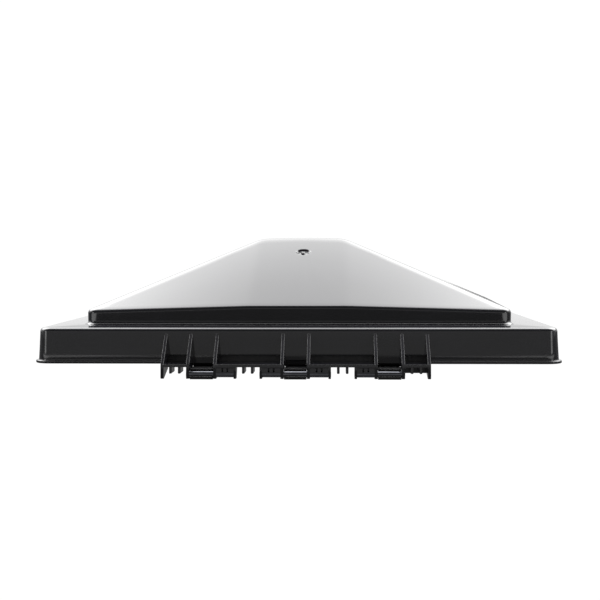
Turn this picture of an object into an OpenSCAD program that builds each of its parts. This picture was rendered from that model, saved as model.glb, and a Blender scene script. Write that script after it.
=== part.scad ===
// Hinged lid of a caravan roof vent: a black moulded pyramid dome on a stepped rim, three steel
// hinge pins in a row of moulded ribs, the hinge rail whose hooks snap over the pins, a foam seal
// and the track and shoe that the vent's lift arm works in.
// The origin is the middle of the row of screw holes, on the rail's mounting face. +Z is up and
// +Y runs from the hinge to the free edge of the lid.

/* [Rim] */
// Overall width of the lid, over the lip
lid_w = 400; // [360:1:480]
// Thickness of the lip at the bottom of the skirt
lip_t = 2.2; // [1.5:0.1:3]
// How far the lip stands out from the skirt
lip_out = 2.2; // [1:0.1:4]
// Height of the shoulder above the underside of the lip
shoulder_z = 27.4; // [24:0.1:34]
// Inward lean of the skirt over its height
skirt_draft = 1.2; // [0.5:0.1:2]
// Plan radius of the skirt's corners
corner_r = 11; // [9:0.5:16]
// Radius of the edge between skirt and shoulder
edge_r = 4.5; // [3:0.1:6]
// Wall thickness of the moulding
wall = 2.5; // [2:0.1:3]

/* [Dome] */
// Step in from the lip to the dome's wall
dome_inset = 33.2; // [30:0.1:45]
// Plan radius of the dome's corners
dome_corner_r = 9; // [6:0.5:14]
// Height of the dome's wall at its corners
dome_wall_h = 10.6; // [8:0.1:14]
// Extra height of the wall under the middle panels
panel_lift = 3.6; // [2:0.1:5]
// Height of the top's four corners above the underside of the lip
dome_top = 95.5; // [88:0.5:120]
// Rise of the top from its corners to its middle
crown = 1.5; // [0.5:0.1:3]
// Width of the top and of the four middle panels
plateau_w = 76.6; // [68:0.1:90]
// Distance of the gate mark from the middle of the dome
gate_y = 69; // [60:1:90]
// Diameter of the gate mark
gate_d = 10.6; // [6:0.1:14]
// Depth of the gate mark
gate_depth = 0.8; // [0.4:0.1:1.2]

/* [Hinge ribs] */
// Reach of the ribs beyond the lip
hinge_reach = 17.2; // [16.5:0.1:22]
// Height of the top of the ribs on the skirt
rib_top = 22.5; // [16:0.1:22.8]
// Depth of the ribs below the lip
rib_drop = 9.3; // [9.2:0.1:12]
// Thickness of a rib
rib_t = 2.3; // [1.8:0.1:3]
// Thickness of a post
post_t = 1.8; // [1.4:0.1:2.4]
// Distance of the inner ribs from the middle
rib_in = 9.7; // [9:0.1:11]
// Distance of the inner posts from the middle
post_in = 25.3; // [23:0.1:27]
// Distance of the outer posts from the middle
post_out = 44.4; // [43:0.1:46]
// Distance of the second ribs from the middle
rib_mid = 59.3; // [58:0.1:62]
// Distance of the third ribs from the middle
rib_out = 79.2; // [76:0.1:81]
// Distance of the end ribs from the middle
rib_end = 98.1; // [96:0.1:102]
// Height of the top of the shelf above the underside of the lip
shelf_z = 1.5; // [0.5:0.1:3]
// Thickness of the shelf
shelf_t = 2.1; // [1.6:0.1:3]
// Height of the skirt's lower edge in the bays beside the windows
bay_z = 6; // [4.5:0.1:8]
// Height of the skirt's lower edge in the middle window
window_z = 2.5; // [1:0.1:4]
// Height of the blocks that hang from the shelf
block_h = 5.6; // [4:0.1:6]
// Width of the slots in the blocks
slot_w = 1.3; // [1:0.1:1.8]
// Thickness of a fin
fin_t = 2; // [1.5:0.1:2.6]
// Length of the fins below the shelf
fin_h = 4.8; // [3.5:0.1:6]
// Distance between the two fins of a pair
fin_pitch = 6.5; // [5:0.1:8]

/* [Hinge pins] */
// Diameter of the hinge pins
pin_d = 4.76; // [4:0.01:5]
// Distance of the pins beyond the lip
pin_reach = 14.5; // [13.8:0.1:14.6]
// Depth of the pins below the underside of the lip
pin_drop = 5.9; // [5.6:0.1:6.1]
// Clearance around a pin where the ribs grip it
pin_grip = 0.02; // [0:0.01:0.05]

/* [Hinge rail and hooks] */
// Length of the rail
rail_w = 200; // [196:1:240]
// Height of the rail
rail_h = 19.5; // [18:0.5:20]
// Thickness of the rail
rail_t = 1.5; // [1.2:0.1:2]
// Height of the rail's lower edge, below the underside of the lip
rail_drop = 2.5; // [1:0.1:3]
// Distance from the inside of the skirt to the rail's mounting face
rail_setback = 5.3; // [5.3:0.1:7]
// Diameter of the screw holes in the rail
hole_d = 4.5; // [3.5:0.1:5]
// Distance between neighbouring screw holes
hole_pitch = 61; // [58:0.5:62]
// Height of the row of screw holes above the underside of the lip
hole_z = 8; // [7:0.1:10]
// Thickness of a hook
hook_t = 1.5; // [1.3:0.1:1.6]
// Running clearance between hook and pin
hook_fit = 0.05; // [0.02:0.01:0.1]
// Gap between a hook and the rib beside it
hook_gap = 0.3; // [0.3:0.1:1]
// Height of a hook's leg above the underside of the lip
hook_leg_z = 12.5; // [11.5:0.1:14]
// Diameter of the hook rivets
rivet_d = 3.2; // [2.4:0.1:3.6]
// Distance between the two rivets of a hook
rivet_pitch = 9; // [8:0.5:10]

/* [Seal] */
// Width of the foam seal
seal_w = 10; // [6:0.5:12]
// Thickness of the foam seal
seal_t = 5; // [3:0.5:5]
// Gap between the rail's mounting face and the seal, seen from above
seal_gap = 2; // [1:0.5:4]

/* [Lift track and shoe] */
// Length of the lift track
track_w = 156; // [120:1:170]
// Thickness of the track's sheet
track_t = 1.2; // [1:0.1:1.6]
// Width of the track over its screw flanges
flange_w = 44; // [42:0.5:50]
// Width inside the track
channel_w = 18; // [16:0.5:20]
// Height inside the track
channel_h = 9.8; // [8:0.1:12]
// Width of the slot between the track's lips
throat_w = 9; // [8:0.5:10]
// Distance between the track's screws, across it
screw_dx = 32; // [31:0.5:34]
// Distance between the track's screws, along it
screw_dy = 60; // [50:1:64]
// Diameter of the bosses that the track hangs from
boss_d = 9; // [7:0.5:10]
// Diameter of the track's screws
screw_d = 4; // [3:0.1:4.5]
// Length of a screw below its head
screw_l = 12; // [8:0.5:14]
// Gap between the end of the track and the underside of the dome
track_air = 0.8; // [0.5:0.1:3]
// Length of the stops in the track's ends
stop_l = 8; // [5:0.5:12]
// Length of the shoe
shoe_l = 30; // [20:0.5:40]
// Clearance between the shoe and the track
shoe_gap = 0.3; // [0.3:0.05:0.6]
// Length of the shoe's neck
neck_l = 16; // [12:0.5:20]
// Depth of the shoe's neck below the track
neck_h = 11; // [9:0.5:16]
// Bore that takes the lift arm's pin
arm_bore = 5; // [4:0.1:6]
// Wall of the brass bush in the shoe
bush_wall = 1; // [0.6:0.1:1.5]

/* [Hidden] */
$fn = 48;
OVER = 1;                     // how far a cut runs past the face that it opens
ARC_STEP = 15;                // angle between two points of a rounded outline
MOUTH = [-25, 85];            // the open part of a hook's ring, as angles above straight outwards

// The lid's own frame has its origin in the middle of the lip's underside.
skirt_r = lid_w / 2 - lip_out;
core = skirt_r - corner_r;
dome_r = lid_w / 2 - dome_inset;
plateau_r = plateau_w / 2;
corner_z = shoulder_z + dome_wall_h;
foot_z = corner_z + panel_lift;
panel_slope = (dome_top - foot_z) / (dome_r - plateau_r);
roof_drop = wall * sqrt(1 + panel_slope * panel_slope);

front_r = lid_w / 2 + hinge_reach;
pin_r = lid_w / 2 + pin_reach;
rail_r = skirt_r - wall - rail_setback;
rivet_head_h = 1.1;
rivet_rim = 1.1;              // how far a rivet's head stands out from its shank
rivet_sink = 0.8;             // depth of a rivet's countersunk end
side_mid = (rib_mid + rib_out) / 2;
fins_in = (post_in + post_out) / 2;
fins_out = (rib_out + rib_end) / 2;
slot_pitch = 3.7;             // distance between the two slots of a block
slot_deep = 4;                // depth of a slot
slot_land = 0.6;              // material left between a slot and the shelf
block_deep = 12;              // depth of a block, from front to back
block_back = 0.6;             // step back from the shelf's front edge to a block
fin_deep = 15;                // depth of a fin, from front to back
web_t = 1.5;                  // wall behind the fins of the right-hand end bay
web_back = 13.7;              // step back from the shelf's front edge to that wall
web_h = 5.7;                  // height of that wall below the shelf
tip_r = 1.5;                  // radius of the ribs' front tips
heel_in = 6.5;                // length of the level underside of a rib
heel_z = 4;                   // depth of a rib's underside where it meets the skirt

seal_r = rail_r - seal_gap;
seal_top = shoulder_z - wall;

track_top = dome_top - panel_slope * (track_w / 2 - plateau_r) - roof_drop - track_air;
channel_top = track_top - track_t;
channel_low = channel_top - channel_h;
track_low = channel_low - track_t;
screw_head_d = 7.6;
screw_head_h = 2.2;
screw_socket = 1.6;           // depth of the screw's cross recess
screw_bite = 0.25;            // depth of thread in the boss
screw_play = 0.4;             // play of a screw in the track's holes
pilot_past = 1.5;             // depth of a boss's hole past the end of its screw
stop_flange = 1.5;            // thickness of a stop's outer flange
shoe_rest = -(track_w / 2 - stop_l - shoe_l / 2 - shoe_gap);
shoe_w = channel_w - 2 * shoe_gap;
shoe_h = channel_h - 2 * shoe_gap;
neck_gap = 0.4;               // clearance between the shoe's neck and the track's lips
neck_w = throat_w - 2 * neck_gap;
neck_low = track_low - neck_h;
arm_z = neck_low + neck_h / 2;

SIDES = [-1, 1];
BLACK = [0.13, 0.13, 0.14];
STEEL = [0.72, 0.73, 0.75];
ZINC = [0.60, 0.61, 0.62];
FOAM = [0.22, 0.22, 0.23];
NYLON = [0.85, 0.84, 0.80];
BRASS = [0.78, 0.62, 0.34];

// Outer face of the skirt, as a distance from the middle of the lid
function skirt_at(z) = skirt_r - skirt_draft * max(0, z - lip_t) / (shoulder_z - edge_r - lip_t);

// Points of an arc from angle a to angle b
function arc(c, r, a, b) =
    let (n = ceil(abs(b - a) / ARC_STEP))
    [for (i = [0:n]) c + r * [cos(a + (b - a) * i / n), sin(a + (b - a) * i / n)]];

// Puts the lid's frame into the part's frame
module in_lid() {
    translate([0, rail_r, -hole_z]) children();
}

// Extrudes an outline, drawn as [distance towards the hinge, height], over x = from to x = to
module across(from, to) {
    translate([from, 0, 0]) rotate([90, 0, -90]) mirror([0, 0, 1])
        linear_extrude(height = to - from) children();
}

module rounded_square(r, corner) {
    span = 2 * (r - corner);
    square([span, 2 * r], center = true);
    square([2 * r, span], center = true);
    for (x = SIDES, y = SIDES)
        translate([x * (r - corner), y * (r - corner)]) circle(r = corner);
}

// ---------------------------------------------------------------- dome

// Solid bounded by the dome's sloping faces: a top that rises slightly to its middle, four middle
// panels and, at each corner, two triangles that meet on the ridge
module roof(base_z) {
    a = plateau_r;
    b = dome_r;
    turns = [for (i = [0:3]) [[cos(90 * i), -sin(90 * i)], [sin(90 * i), cos(90 * i)]]];
    function spot(i, x, y, z) = concat(turns[i] * [x, y], [z]);
    points = concat(
        [for (i = [0:3]) spot(i, a, a, dome_top)],
        [for (i = [0:3]) spot(i, b, b, corner_z)],
        [for (i = [0:3]) spot(i, b, b, base_z)],
        [for (i = [0:3], x = [a, -a]) spot(i, x, b, foot_z)],
        [[0, 0, dome_top + crown]]
    );
    faces = concat(
        [[8, 9, 10, 11]],
        [for (i = [0:3]) [i, 20, (i + 1) % 4]],
        [for (i = [0:3]) [i, (i + 1) % 4, 13 + 2 * i, 12 + 2 * i]],
        [for (i = [0:3]) [i, 12 + 2 * i, 4 + i]],
        [for (i = [0:3]) [(i + 1) % 4, 4 + (i + 1) % 4, 13 + 2 * i]],
        [for (i = [0:3])
            [12 + 2 * i, 13 + 2 * i, 4 + (i + 1) % 4, 8 + (i + 1) % 4, 8 + i, 4 + i]]
    );
    polyhedron(points = points, faces = faces);
}

module roof_block(r, corner, base_z, drop) {
    intersection() {
        translate([0, 0, base_z]) linear_extrude(height = dome_top + crown)
            rounded_square(r, corner);
        translate([0, 0, -drop]) roof(base_z - OVER);
    }
}

// Places something on the front panel, square to its surface
module on_gate() {
    translate([0, -gate_y, dome_top - panel_slope * (gate_y - plateau_r)])
        rotate([atan(panel_slope), 0, 0]) children();
}

module boss_places() {
    for (x = SIDES, y = SIDES) translate([x * screw_dx / 2, y * screw_dy / 2, 0]) children();
}

module lid_dome() {
    color(BLACK) in_lid() {
        difference() {
            roof_block(dome_r, dome_corner_r, shoulder_z, 0);
            roof_block(dome_r - wall, dome_corner_r - wall, shoulder_z - OVER, roof_drop);
            on_gate() translate([0, 0, -gate_depth]) difference() {
                cylinder(d = gate_d, h = 2 * gate_depth);
                cylinder(d = gate_d / 3, h = gate_depth);
            }
        }
        intersection() {
            boss_places() translate([0, 0, track_top]) difference() {
                cylinder(d = boss_d, h = dome_top - track_top);
                translate([0, 0, -OVER])
                    cylinder(d = screw_d - 2 * screw_bite, h = screw_l - track_t + pilot_past + OVER);
            }
            translate([0, 0, -roof_drop / 2]) roof(shoulder_z);
        }
    }
}

// ---------------------------------------------------------------- rim

// Section of the skirt, measured outwards from the middle of its corner
module skirt_profile() {
    out_top = corner_r - skirt_draft;
    turn = [out_top - edge_r, shoulder_z - edge_r];
    polygon(concat(
        [[0, shoulder_z - wall]],
        arc(turn, edge_r - wall, 90, 0),
        [[corner_r - wall, 0], [corner_r + lip_out, 0], [corner_r + lip_out, lip_t]],
        [[corner_r, lip_t]],
        arc(turn, edge_r, 0, 90),
        [[0, shoulder_z]]
    ));
}

module skirt() {
    for (i = [0:3]) rotate(90 * i) {
        translate([core, core, 0]) rotate_extrude(angle = 90) skirt_profile();
        translate([core, core, 0]) rotate([90, 0, 0])
            linear_extrude(height = 2 * core) skirt_profile();
    }
    lap = (corner_r - skirt_draft - edge_r) / 2;
    translate([0, 0, shoulder_z - wall]) linear_extrude(height = wall) difference() {
        square(2 * (core + lap), center = true);
        rounded_square(dome_r - wall, dome_corner_r - wall);
    }
}

// Takes the skirt away below height z, between two distances from the middle
module skirt_gap(from, to, z) {
    across(from, to) translate([skirt_r - 2 * wall, -OVER]) square([3 * wall, z + OVER]);
}

module skirt_gaps() {
    half_t = rib_t / 2;
    skirt_gap(-rib_in + half_t, rib_in - half_t, window_z);
    for (s = [0, 1]) mirror([s, 0, 0]) {
        skirt_gap(rib_in + half_t, rib_mid - half_t, bay_z);
        skirt_gap(rib_out + half_t, rib_end - half_t, bay_z);
    }
    // the lip stops at the end ribs
    across(-rib_end - half_t, rib_end + half_t)
        translate([skirt_r, -OVER]) square([2 * lip_out, lip_t + OVER]);
}

// Gusset rib, from the skirt to its tip beyond the pins
module rib(x, heel) {
    across(x - rib_t / 2, x + rib_t / 2) polygon(concat(
        [[skirt_at(0) - wall / 2, -heel_z], [front_r - heel, -rib_drop]],
        arc([front_r - tip_r, tip_r - rib_drop], tip_r, -90, 0),
        [[front_r, shelf_z], [skirt_at(rib_top), rib_top], [skirt_at(rib_top) - wall / 2, rib_top]]
    ));
}

module post(x) {
    across(x - post_t / 2, x + post_t / 2) polygon(concat(
        [[front_r - block_deep, -shelf_t / 2], [front_r - heel_in, -rib_drop]],
        arc([front_r - tip_r, tip_r - rib_drop], tip_r, -90, 0),
        [[front_r, 0]]
    ));
}

module shelf(from, to) {
    across(from, to) translate([skirt_r, shelf_z - shelf_t])
        square([front_r - skirt_r, shelf_t]);
}

// Block that hangs from the shelf between a rib and a post, with two narrow slots
module block(from, to, slots_x) {
    low = shelf_z - shelf_t - block_h;
    difference() {
        across(from, to) translate([front_r - block_deep, low])
            square([block_deep - block_back, block_h + shelf_t / 2]);
        for (s = SIDES) across(slots_x + s * slot_pitch / 2 - slot_w / 2,
                slots_x + s * slot_pitch / 2 + slot_w / 2)
            translate([front_r - slot_deep, low - OVER])
                square([slot_deep, block_h - slot_land + OVER]);
    }
}

module fins(x) {
    low = shelf_z - shelf_t - fin_h;
    for (s = SIDES) translate([x + s * fin_pitch / 2, -front_r, 0]) {
        translate([-fin_t / 2, 0, low + fin_t / 2]) cube([fin_t, fin_deep, fin_h]);
        translate([0, 0, low + fin_t / 2]) rotate([-90, 0, 0]) cylinder(d = fin_t, h = fin_deep);
    }
}

module hinge_ribs() {
    for (s = [0, 1]) mirror([s, 0, 0]) {
        for (x = [rib_in, rib_mid, rib_out]) rib(x, heel_in);
        rib(rib_end, 2 * tip_r);
        for (x = [post_in, post_out]) post(x);
        shelf(rib_in, rib_mid);
        shelf(rib_out, rib_end);
        block(rib_in, post_in, (rib_in + rib_t / 2 + post_in - post_t / 2) / 2);
        block(post_out, rib_mid, (post_out + post_t / 2 + rib_mid - rib_t / 2) / 2);
        fins(fins_in);
        fins(fins_out);
    }
    across(rib_out, rib_end) translate([front_r - web_back - web_t, shelf_z - shelf_t - web_h])
        square([web_t, web_h + shelf_t / 2]);
}

module lid_rim() {
    color(BLACK) in_lid() difference() {
        union() {
            difference() {
                skirt();
                skirt_gaps();
            }
            hinge_ribs();
        }
        pin_places() cylinder(d = pin_d + 2 * pin_grip, h = pin_length($side));
    }
}

// ---------------------------------------------------------------- hinge pins

// Each pin ends flush with the outer faces of the ribs or posts that hold it
function pin_length(side) =
    side == 0 ? 2 * post_in + post_t : rib_out + rib_t / 2 - post_out + post_t / 2;
function pin_start(side) =
    side == 0 ? -post_in - post_t / 2 : side > 0 ? post_out - post_t / 2 : -rib_out - rib_t / 2;

module pin_places() {
    for ($side = [-1, 0, 1]) at_pin($side) children();
}

module at_pin(side) {
    translate([pin_start(side), -pin_r, -pin_drop]) rotate([0, 90, 0]) children();
}

module hinge_pin(side) {
    chamfer = 0.5;
    long = pin_length(side);
    color(STEEL) in_lid() at_pin(side) rotate_extrude() polygon([
        [0, 0], [pin_d / 2 - chamfer, 0], [pin_d / 2, chamfer],
        [pin_d / 2, long - chamfer], [pin_d / 2 - chamfer, long], [0, long]
    ]);
}

module hinge_pin_left() {
    hinge_pin(-1);
}

module hinge_pin_middle() {
    hinge_pin(0);
}

module hinge_pin_right() {
    hinge_pin(1);
}

// ---------------------------------------------------------------- seal

module seal_strip(turn, half) {
    color(FOAM) in_lid() rotate(turn) translate([-half, seal_r - seal_w, seal_top - seal_t])
        cube([2 * half, seal_w, seal_t]);
}

module seal_front() {
    seal_strip(0, seal_r);
}

module seal_rear() {
    seal_strip(180, seal_r);
}

module seal_left() {
    seal_strip(90, seal_r - seal_w);
}

module seal_right() {
    seal_strip(-90, seal_r - seal_w);
}

// ---------------------------------------------------------------- hinge rail and hooks

module rivet_places() {
    for (x = [-side_mid, 0, side_mid], s = SIDES)
        translate([x + s * rivet_pitch / 2, 0, 0]) rotate([90, 0, 0]) children();
}

// Shank of a rivet with its countersunk end, from the mounting face outwards
module rivet_shank(length) {
    cylinder(d = rivet_d, h = length);
    cylinder(d1 = rivet_d + 2 * rivet_sink, d2 = rivet_d, h = rivet_sink);
}

module hinge_rail() {
    color(ZINC) difference() {
        translate([-rail_w / 2, -rail_t, -hole_z - rail_drop]) cube([rail_w, rail_t, rail_h]);
        for (i = [-1.5:1:1.5]) translate([i * hole_pitch, OVER, 0]) rotate([90, 0, 0])
            cylinder(d = hole_d, h = rail_t + 2 * OVER);
        rivet_places() rivet_shank(rail_t + OVER);
    }
}

// Hook outline, drawn as [distance towards the hinge, height]: a leg on the rail, a strap under
// the skirt and an open ring that snaps over the pin from behind
module hook_outline() {
    hole = pin_d / 2 + hook_fit;
    ring = hole + hook_t;
    leg_r = rail_r + rail_t;
    strap_z = hole - pin_drop;
    difference() {
        union() {
            translate([pin_r, -pin_drop]) circle(r = ring);
            polygon([
                [leg_r, strap_z], [pin_r, strap_z], [pin_r, strap_z + hook_t],
                [leg_r + 2 * hook_t, strap_z + hook_t], [leg_r + hook_t, strap_z + 2 * hook_t],
                [leg_r + hook_t, hook_leg_z], [leg_r, hook_leg_z]
            ]);
        }
        translate([pin_r, -pin_drop]) {
            circle(r = hole);
            polygon([
                [0, 0], for (turn = [MOUTH[0], 0, 45, MOUTH[1]]) 2 * ring * [cos(turn), sin(turn)]
            ]);
        }
    }
}

module hook(x, half) {
    color(BLACK) difference() {
        in_lid() across(x - half, x + half) hook_outline();
        rivet_places() cylinder(d = rivet_d, h = rail_t + hook_t + OVER);
    }
}

module hook_left() {
    hook(-side_mid, (rib_out - rib_mid - rib_t) / 2 - hook_gap);
}

module hook_middle() {
    hook(0, rib_in - rib_t / 2 - hook_gap);
}

module hook_right() {
    hook(side_mid, (rib_out - rib_mid - rib_t) / 2 - hook_gap);
}

module hook_rivets() {
    head_r = rivet_d / 2 + rivet_rim;
    ball = (head_r * head_r + rivet_head_h * rivet_head_h) / (2 * rivet_head_h);
    color(STEEL) rivet_places() {
        rivet_shank(rail_t + hook_t);
        translate([0, 0, rail_t + hook_t]) intersection() {
            translate([0, 0, rivet_head_h - ball]) sphere(r = ball);
            cylinder(r = ball, h = ball);
        }
    }
}

// ---------------------------------------------------------------- lift track and shoe

// Section across the track: a flat flange above an open-bottomed channel with turned-in lips
module track_section() {
    out = channel_w / 2 + track_t;
    translate([-flange_w / 2, channel_top]) square([flange_w, track_t]);
    for (s = [0, 1]) mirror([s, 0]) {
        translate([channel_w / 2, track_low]) square([track_t, channel_top - track_low]);
        translate([throat_w / 2, track_low]) square([out - throat_w / 2, track_t]);
    }
}

module lift_track() {
    color(ZINC) in_lid() difference() {
        translate([0, track_w / 2, 0]) rotate([90, 0, 0])
            linear_extrude(height = track_w) track_section();
        boss_places() translate([0, 0, channel_top - OVER])
            cylinder(d = screw_d + screw_play, h = track_t + 2 * OVER);
    }
}

module track_screws() {
    color(STEEL) in_lid() boss_places() translate([0, 0, channel_top]) {
        cylinder(d = screw_d - 2 * screw_bite, h = screw_l);
        difference() {
            translate([0, 0, -screw_head_h]) cylinder(d1 = screw_head_d * 0.8,
                d2 = screw_head_d, h = screw_head_h);
            for (turn = [0, 90]) rotate(turn)
                translate([-screw_head_d / 4, -0.5, -screw_head_h - OVER])
                cube([screw_head_d / 2, 1, screw_socket + OVER]);
        }
    }
}

// Plug that closes one end of the track
module track_stop(turn) {
    color(BLACK) in_lid() rotate(turn) translate([0, -track_w / 2, 0]) {
        translate([-channel_w / 2, 0, channel_low]) cube([channel_w, stop_l, channel_h]);
        translate([-channel_w / 2 - track_t, -stop_flange, track_low])
            cube([channel_w + 2 * track_t, stop_flange, channel_top - track_low]);
    }
}

module track_stop_rear() {
    track_stop(0);
}

module track_stop_front() {
    track_stop(180);
}

module at_shoe() {
    in_lid() translate([0, shoe_rest, 0]) children();
}

module lift_shoe() {
    w = shoe_w / 2;
    l = shoe_l / 2;
    nose = 3;                 // corner cut from each end of the shoe
    color(NYLON) at_shoe() difference() {
        union() {
            translate([0, 0, channel_low + shoe_gap]) linear_extrude(height = shoe_h) polygon([
                [w - nose, -l], [w, nose - l], [w, l - nose], [w - nose, l],
                [nose - w, l], [-w, l - nose], [-w, nose - l], [nose - w, -l]
            ]);
            translate([-neck_w / 2, -neck_l / 2, neck_low])
                cube([neck_w, neck_l, neck_h + track_t + 2 * shoe_gap]);
        }
        translate([0, 0, arm_z]) rotate([0, 90, 0])
            cylinder(d = arm_bore + 2 * bush_wall, h = 2 * neck_w, center = true);
    }
}

module shoe_bush() {
    color(BRASS) at_shoe() translate([0, 0, arm_z]) rotate([0, 90, 0]) difference() {
        cylinder(d = arm_bore + 2 * bush_wall, h = neck_w, center = true);
        cylinder(d = arm_bore, h = 2 * neck_w, center = true);
    }
}

lid_dome();
lid_rim();
hinge_pin_left();
hinge_pin_middle();
hinge_pin_right();
seal_front();
seal_rear();
seal_left();
seal_right();
hinge_rail();
hook_left();
hook_middle();
hook_right();
hook_rivets();
lift_track();
track_screws();
track_stop_front();
track_stop_rear();
lift_shoe();
shoe_bush();
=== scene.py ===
"""Looks of a hinged roof vent lid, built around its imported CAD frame.

Every length in this file is in millimetres in the lid's own frame, whose origin is the middle of
the lip's underside, unless a name says otherwise. +Y runs to the free edge and +Z up.
"""

import logging
import math
from dataclasses import dataclass, field
from enum import Enum

import bmesh
import bpy
from mathutils import Matrix, Vector

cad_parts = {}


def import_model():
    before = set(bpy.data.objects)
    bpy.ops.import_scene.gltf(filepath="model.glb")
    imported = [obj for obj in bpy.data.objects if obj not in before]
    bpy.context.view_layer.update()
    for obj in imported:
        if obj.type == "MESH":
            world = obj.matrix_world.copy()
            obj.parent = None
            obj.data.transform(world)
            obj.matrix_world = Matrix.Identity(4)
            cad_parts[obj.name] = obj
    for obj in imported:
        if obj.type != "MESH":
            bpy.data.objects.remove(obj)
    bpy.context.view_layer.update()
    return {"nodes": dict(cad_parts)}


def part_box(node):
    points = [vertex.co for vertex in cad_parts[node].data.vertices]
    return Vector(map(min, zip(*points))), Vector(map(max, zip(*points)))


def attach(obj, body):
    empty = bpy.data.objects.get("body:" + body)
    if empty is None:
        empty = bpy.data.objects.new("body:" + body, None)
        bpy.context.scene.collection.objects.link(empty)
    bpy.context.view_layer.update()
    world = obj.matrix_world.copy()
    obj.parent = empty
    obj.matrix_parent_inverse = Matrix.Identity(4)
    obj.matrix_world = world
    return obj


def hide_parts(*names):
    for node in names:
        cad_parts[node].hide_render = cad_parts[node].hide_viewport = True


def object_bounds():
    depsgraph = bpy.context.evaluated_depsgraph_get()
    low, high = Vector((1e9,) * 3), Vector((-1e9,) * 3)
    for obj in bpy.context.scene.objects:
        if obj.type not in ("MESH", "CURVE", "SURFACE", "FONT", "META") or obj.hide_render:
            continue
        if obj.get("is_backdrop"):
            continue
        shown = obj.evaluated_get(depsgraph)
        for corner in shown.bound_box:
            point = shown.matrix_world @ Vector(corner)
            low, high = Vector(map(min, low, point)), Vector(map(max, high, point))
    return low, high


MM = 0.001
log = logging.getLogger("vent_lid")

Outline = list[tuple[float, float]]
Socket = bpy.types.NodeSocket


class Body(Enum):
    """Moving bodies of the assembly."""

    RAIL = "hinge_rail"
    LID = "lid"
    SHOE = "shoe"


class Side(Enum):
    """Sides of the lid, as quarter turns from the hinge side, anticlockwise from above."""

    HINGE = 0
    RIGHT = 1
    FREE = 2
    LEFT = 3


# ---------------------------------------------------------------- helpers


def linear(code: str) -> tuple[float, float, float, float]:
    """Turns an sRGB hex colour into linear values.

    Args:
        code: Colour such as "#1a1a1c".

    Returns:
        Red, green, blue and an alpha of one.
    """
    parts = [int(code[i : i + 2], 16) / 255 for i in (1, 3, 5)]
    r, g, b = (c / 12.92 if c <= 0.04045 else ((c + 0.055) / 1.055) ** 2.4 for c in parts)
    return r, g, b, 1.0


def add_node(
    tree: bpy.types.NodeTree,
    kind: str,
    inputs: dict[str | int, object] | None = None,
    **settings: object,
) -> bpy.types.Node:
    """Adds a node to a tree.

    Args:
        tree: Node tree that gets the node.
        kind: Blender's name for the node's type.
        inputs: Value or source socket for each input, by its name or place.
        settings: Properties of the node.

    Returns:
        The new node.
    """
    node = tree.nodes.new(kind)
    for name, value in settings.items():
        setattr(node, name, value)
    for name, value in (inputs or {}).items():
        if isinstance(value, Socket):
            tree.links.new(value, node.inputs[name])
        else:
            node.inputs[name].default_value = value
    return node


def add_chain(
    tree: bpy.types.NodeTree,
    kind: str,
    setting: str,
    values: dict[str, Socket],
    steps: list[tuple],
) -> None:
    """Adds a run of nodes of one type, each fed by numbers and by earlier results.

    Args:
        tree: Node tree that gets the nodes.
        kind: Blender's name for the nodes' type.
        setting: Name of the property that each step sets.
        values: Sockets that the steps may use, by name, to which every result is added.
        steps: Each result's name, its property's value, and its inputs as names or numbers.
    """
    for name, choice, *terms in steps:
        inputs = {place: values.get(term, term) for place, term in enumerate(terms)}
        values[name] = add_node(tree, kind, inputs, **{setting: choice}).outputs[0]


def empty_tree(owner: bpy.types.Material | bpy.types.World) -> bpy.types.NodeTree:
    """Turns on the nodes of a material or world and returns its emptied tree.

    Args:
        owner: The material or world.

    Returns:
        Its node tree.
    """
    owner.use_nodes = True
    owner.node_tree.nodes.clear()
    return owner.node_tree


def open_tree(name: str, inputs: dict[str, str]) -> tuple[bpy.types.NodeTree, dict[str, str]]:
    """Starts a Geometry Nodes tree with one geometry in, one out and named inputs.

    Args:
        name: Name of the tree.
        inputs: Kind of each further input, by its name.

    Returns:
        The tree and the identifier of each named input.
    """
    tree = bpy.data.node_groups.new(name, "GeometryNodeTree")
    face = tree.interface
    face.new_socket("Base", in_out="INPUT", socket_type="NodeSocketGeometry")
    face.new_socket("Result", in_out="OUTPUT", socket_type="NodeSocketGeometry")
    keys = {
        label: face.new_socket(label, in_out="INPUT", socket_type="NodeSocket" + kind).identifier
        for label, kind in inputs.items()
    }
    return tree, keys


def close_tree(tree: bpy.types.NodeTree, geometry: Socket, finish: Socket) -> None:
    """Ends a tree: its instances become real, get their material and go to the output.

    Args:
        tree: Tree to end.
        geometry: Geometry that the tree has made.
        finish: Material that it gets.
    """
    solid = add_node(tree, "GeometryNodeRealizeInstances", {0: geometry}).outputs[0]
    dressed = add_node(tree, "GeometryNodeSetMaterial", {"Geometry": solid, "Material": finish})
    add_node(tree, "NodeGroupOutput", {0: dressed.outputs[0]})


def arc(
    centre: tuple[float, float], radius: float, start: float, end: float, steps: int
) -> Outline:
    """Returns the points of an arc between two angles in degrees, both ends included."""
    turns = [math.radians(start + (end - start) * i / steps) for i in range(steps + 1)]
    return [(centre[0] + radius * math.cos(t), centre[1] + radius * math.sin(t)) for t in turns]


def spread(breaks: list[tuple[float, float]]) -> list[float]:
    """Spaces lines on both sides of zero.

    Args:
        breaks: Distance to reach and the widest spacing on the way, from the middle outwards.

    Returns:
        Ordered places from minus the last distance to plus it.
    """
    half = [0.0]
    for reach, step in breaks:
        count = max(1, math.ceil((reach - half[-1]) / step - 1e-6))
        begin = half[-1]
        half += [begin + (reach - begin) * (i + 1) / count for i in range(count)]
    return [-c for c in reversed(half[1:])] + half


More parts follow.
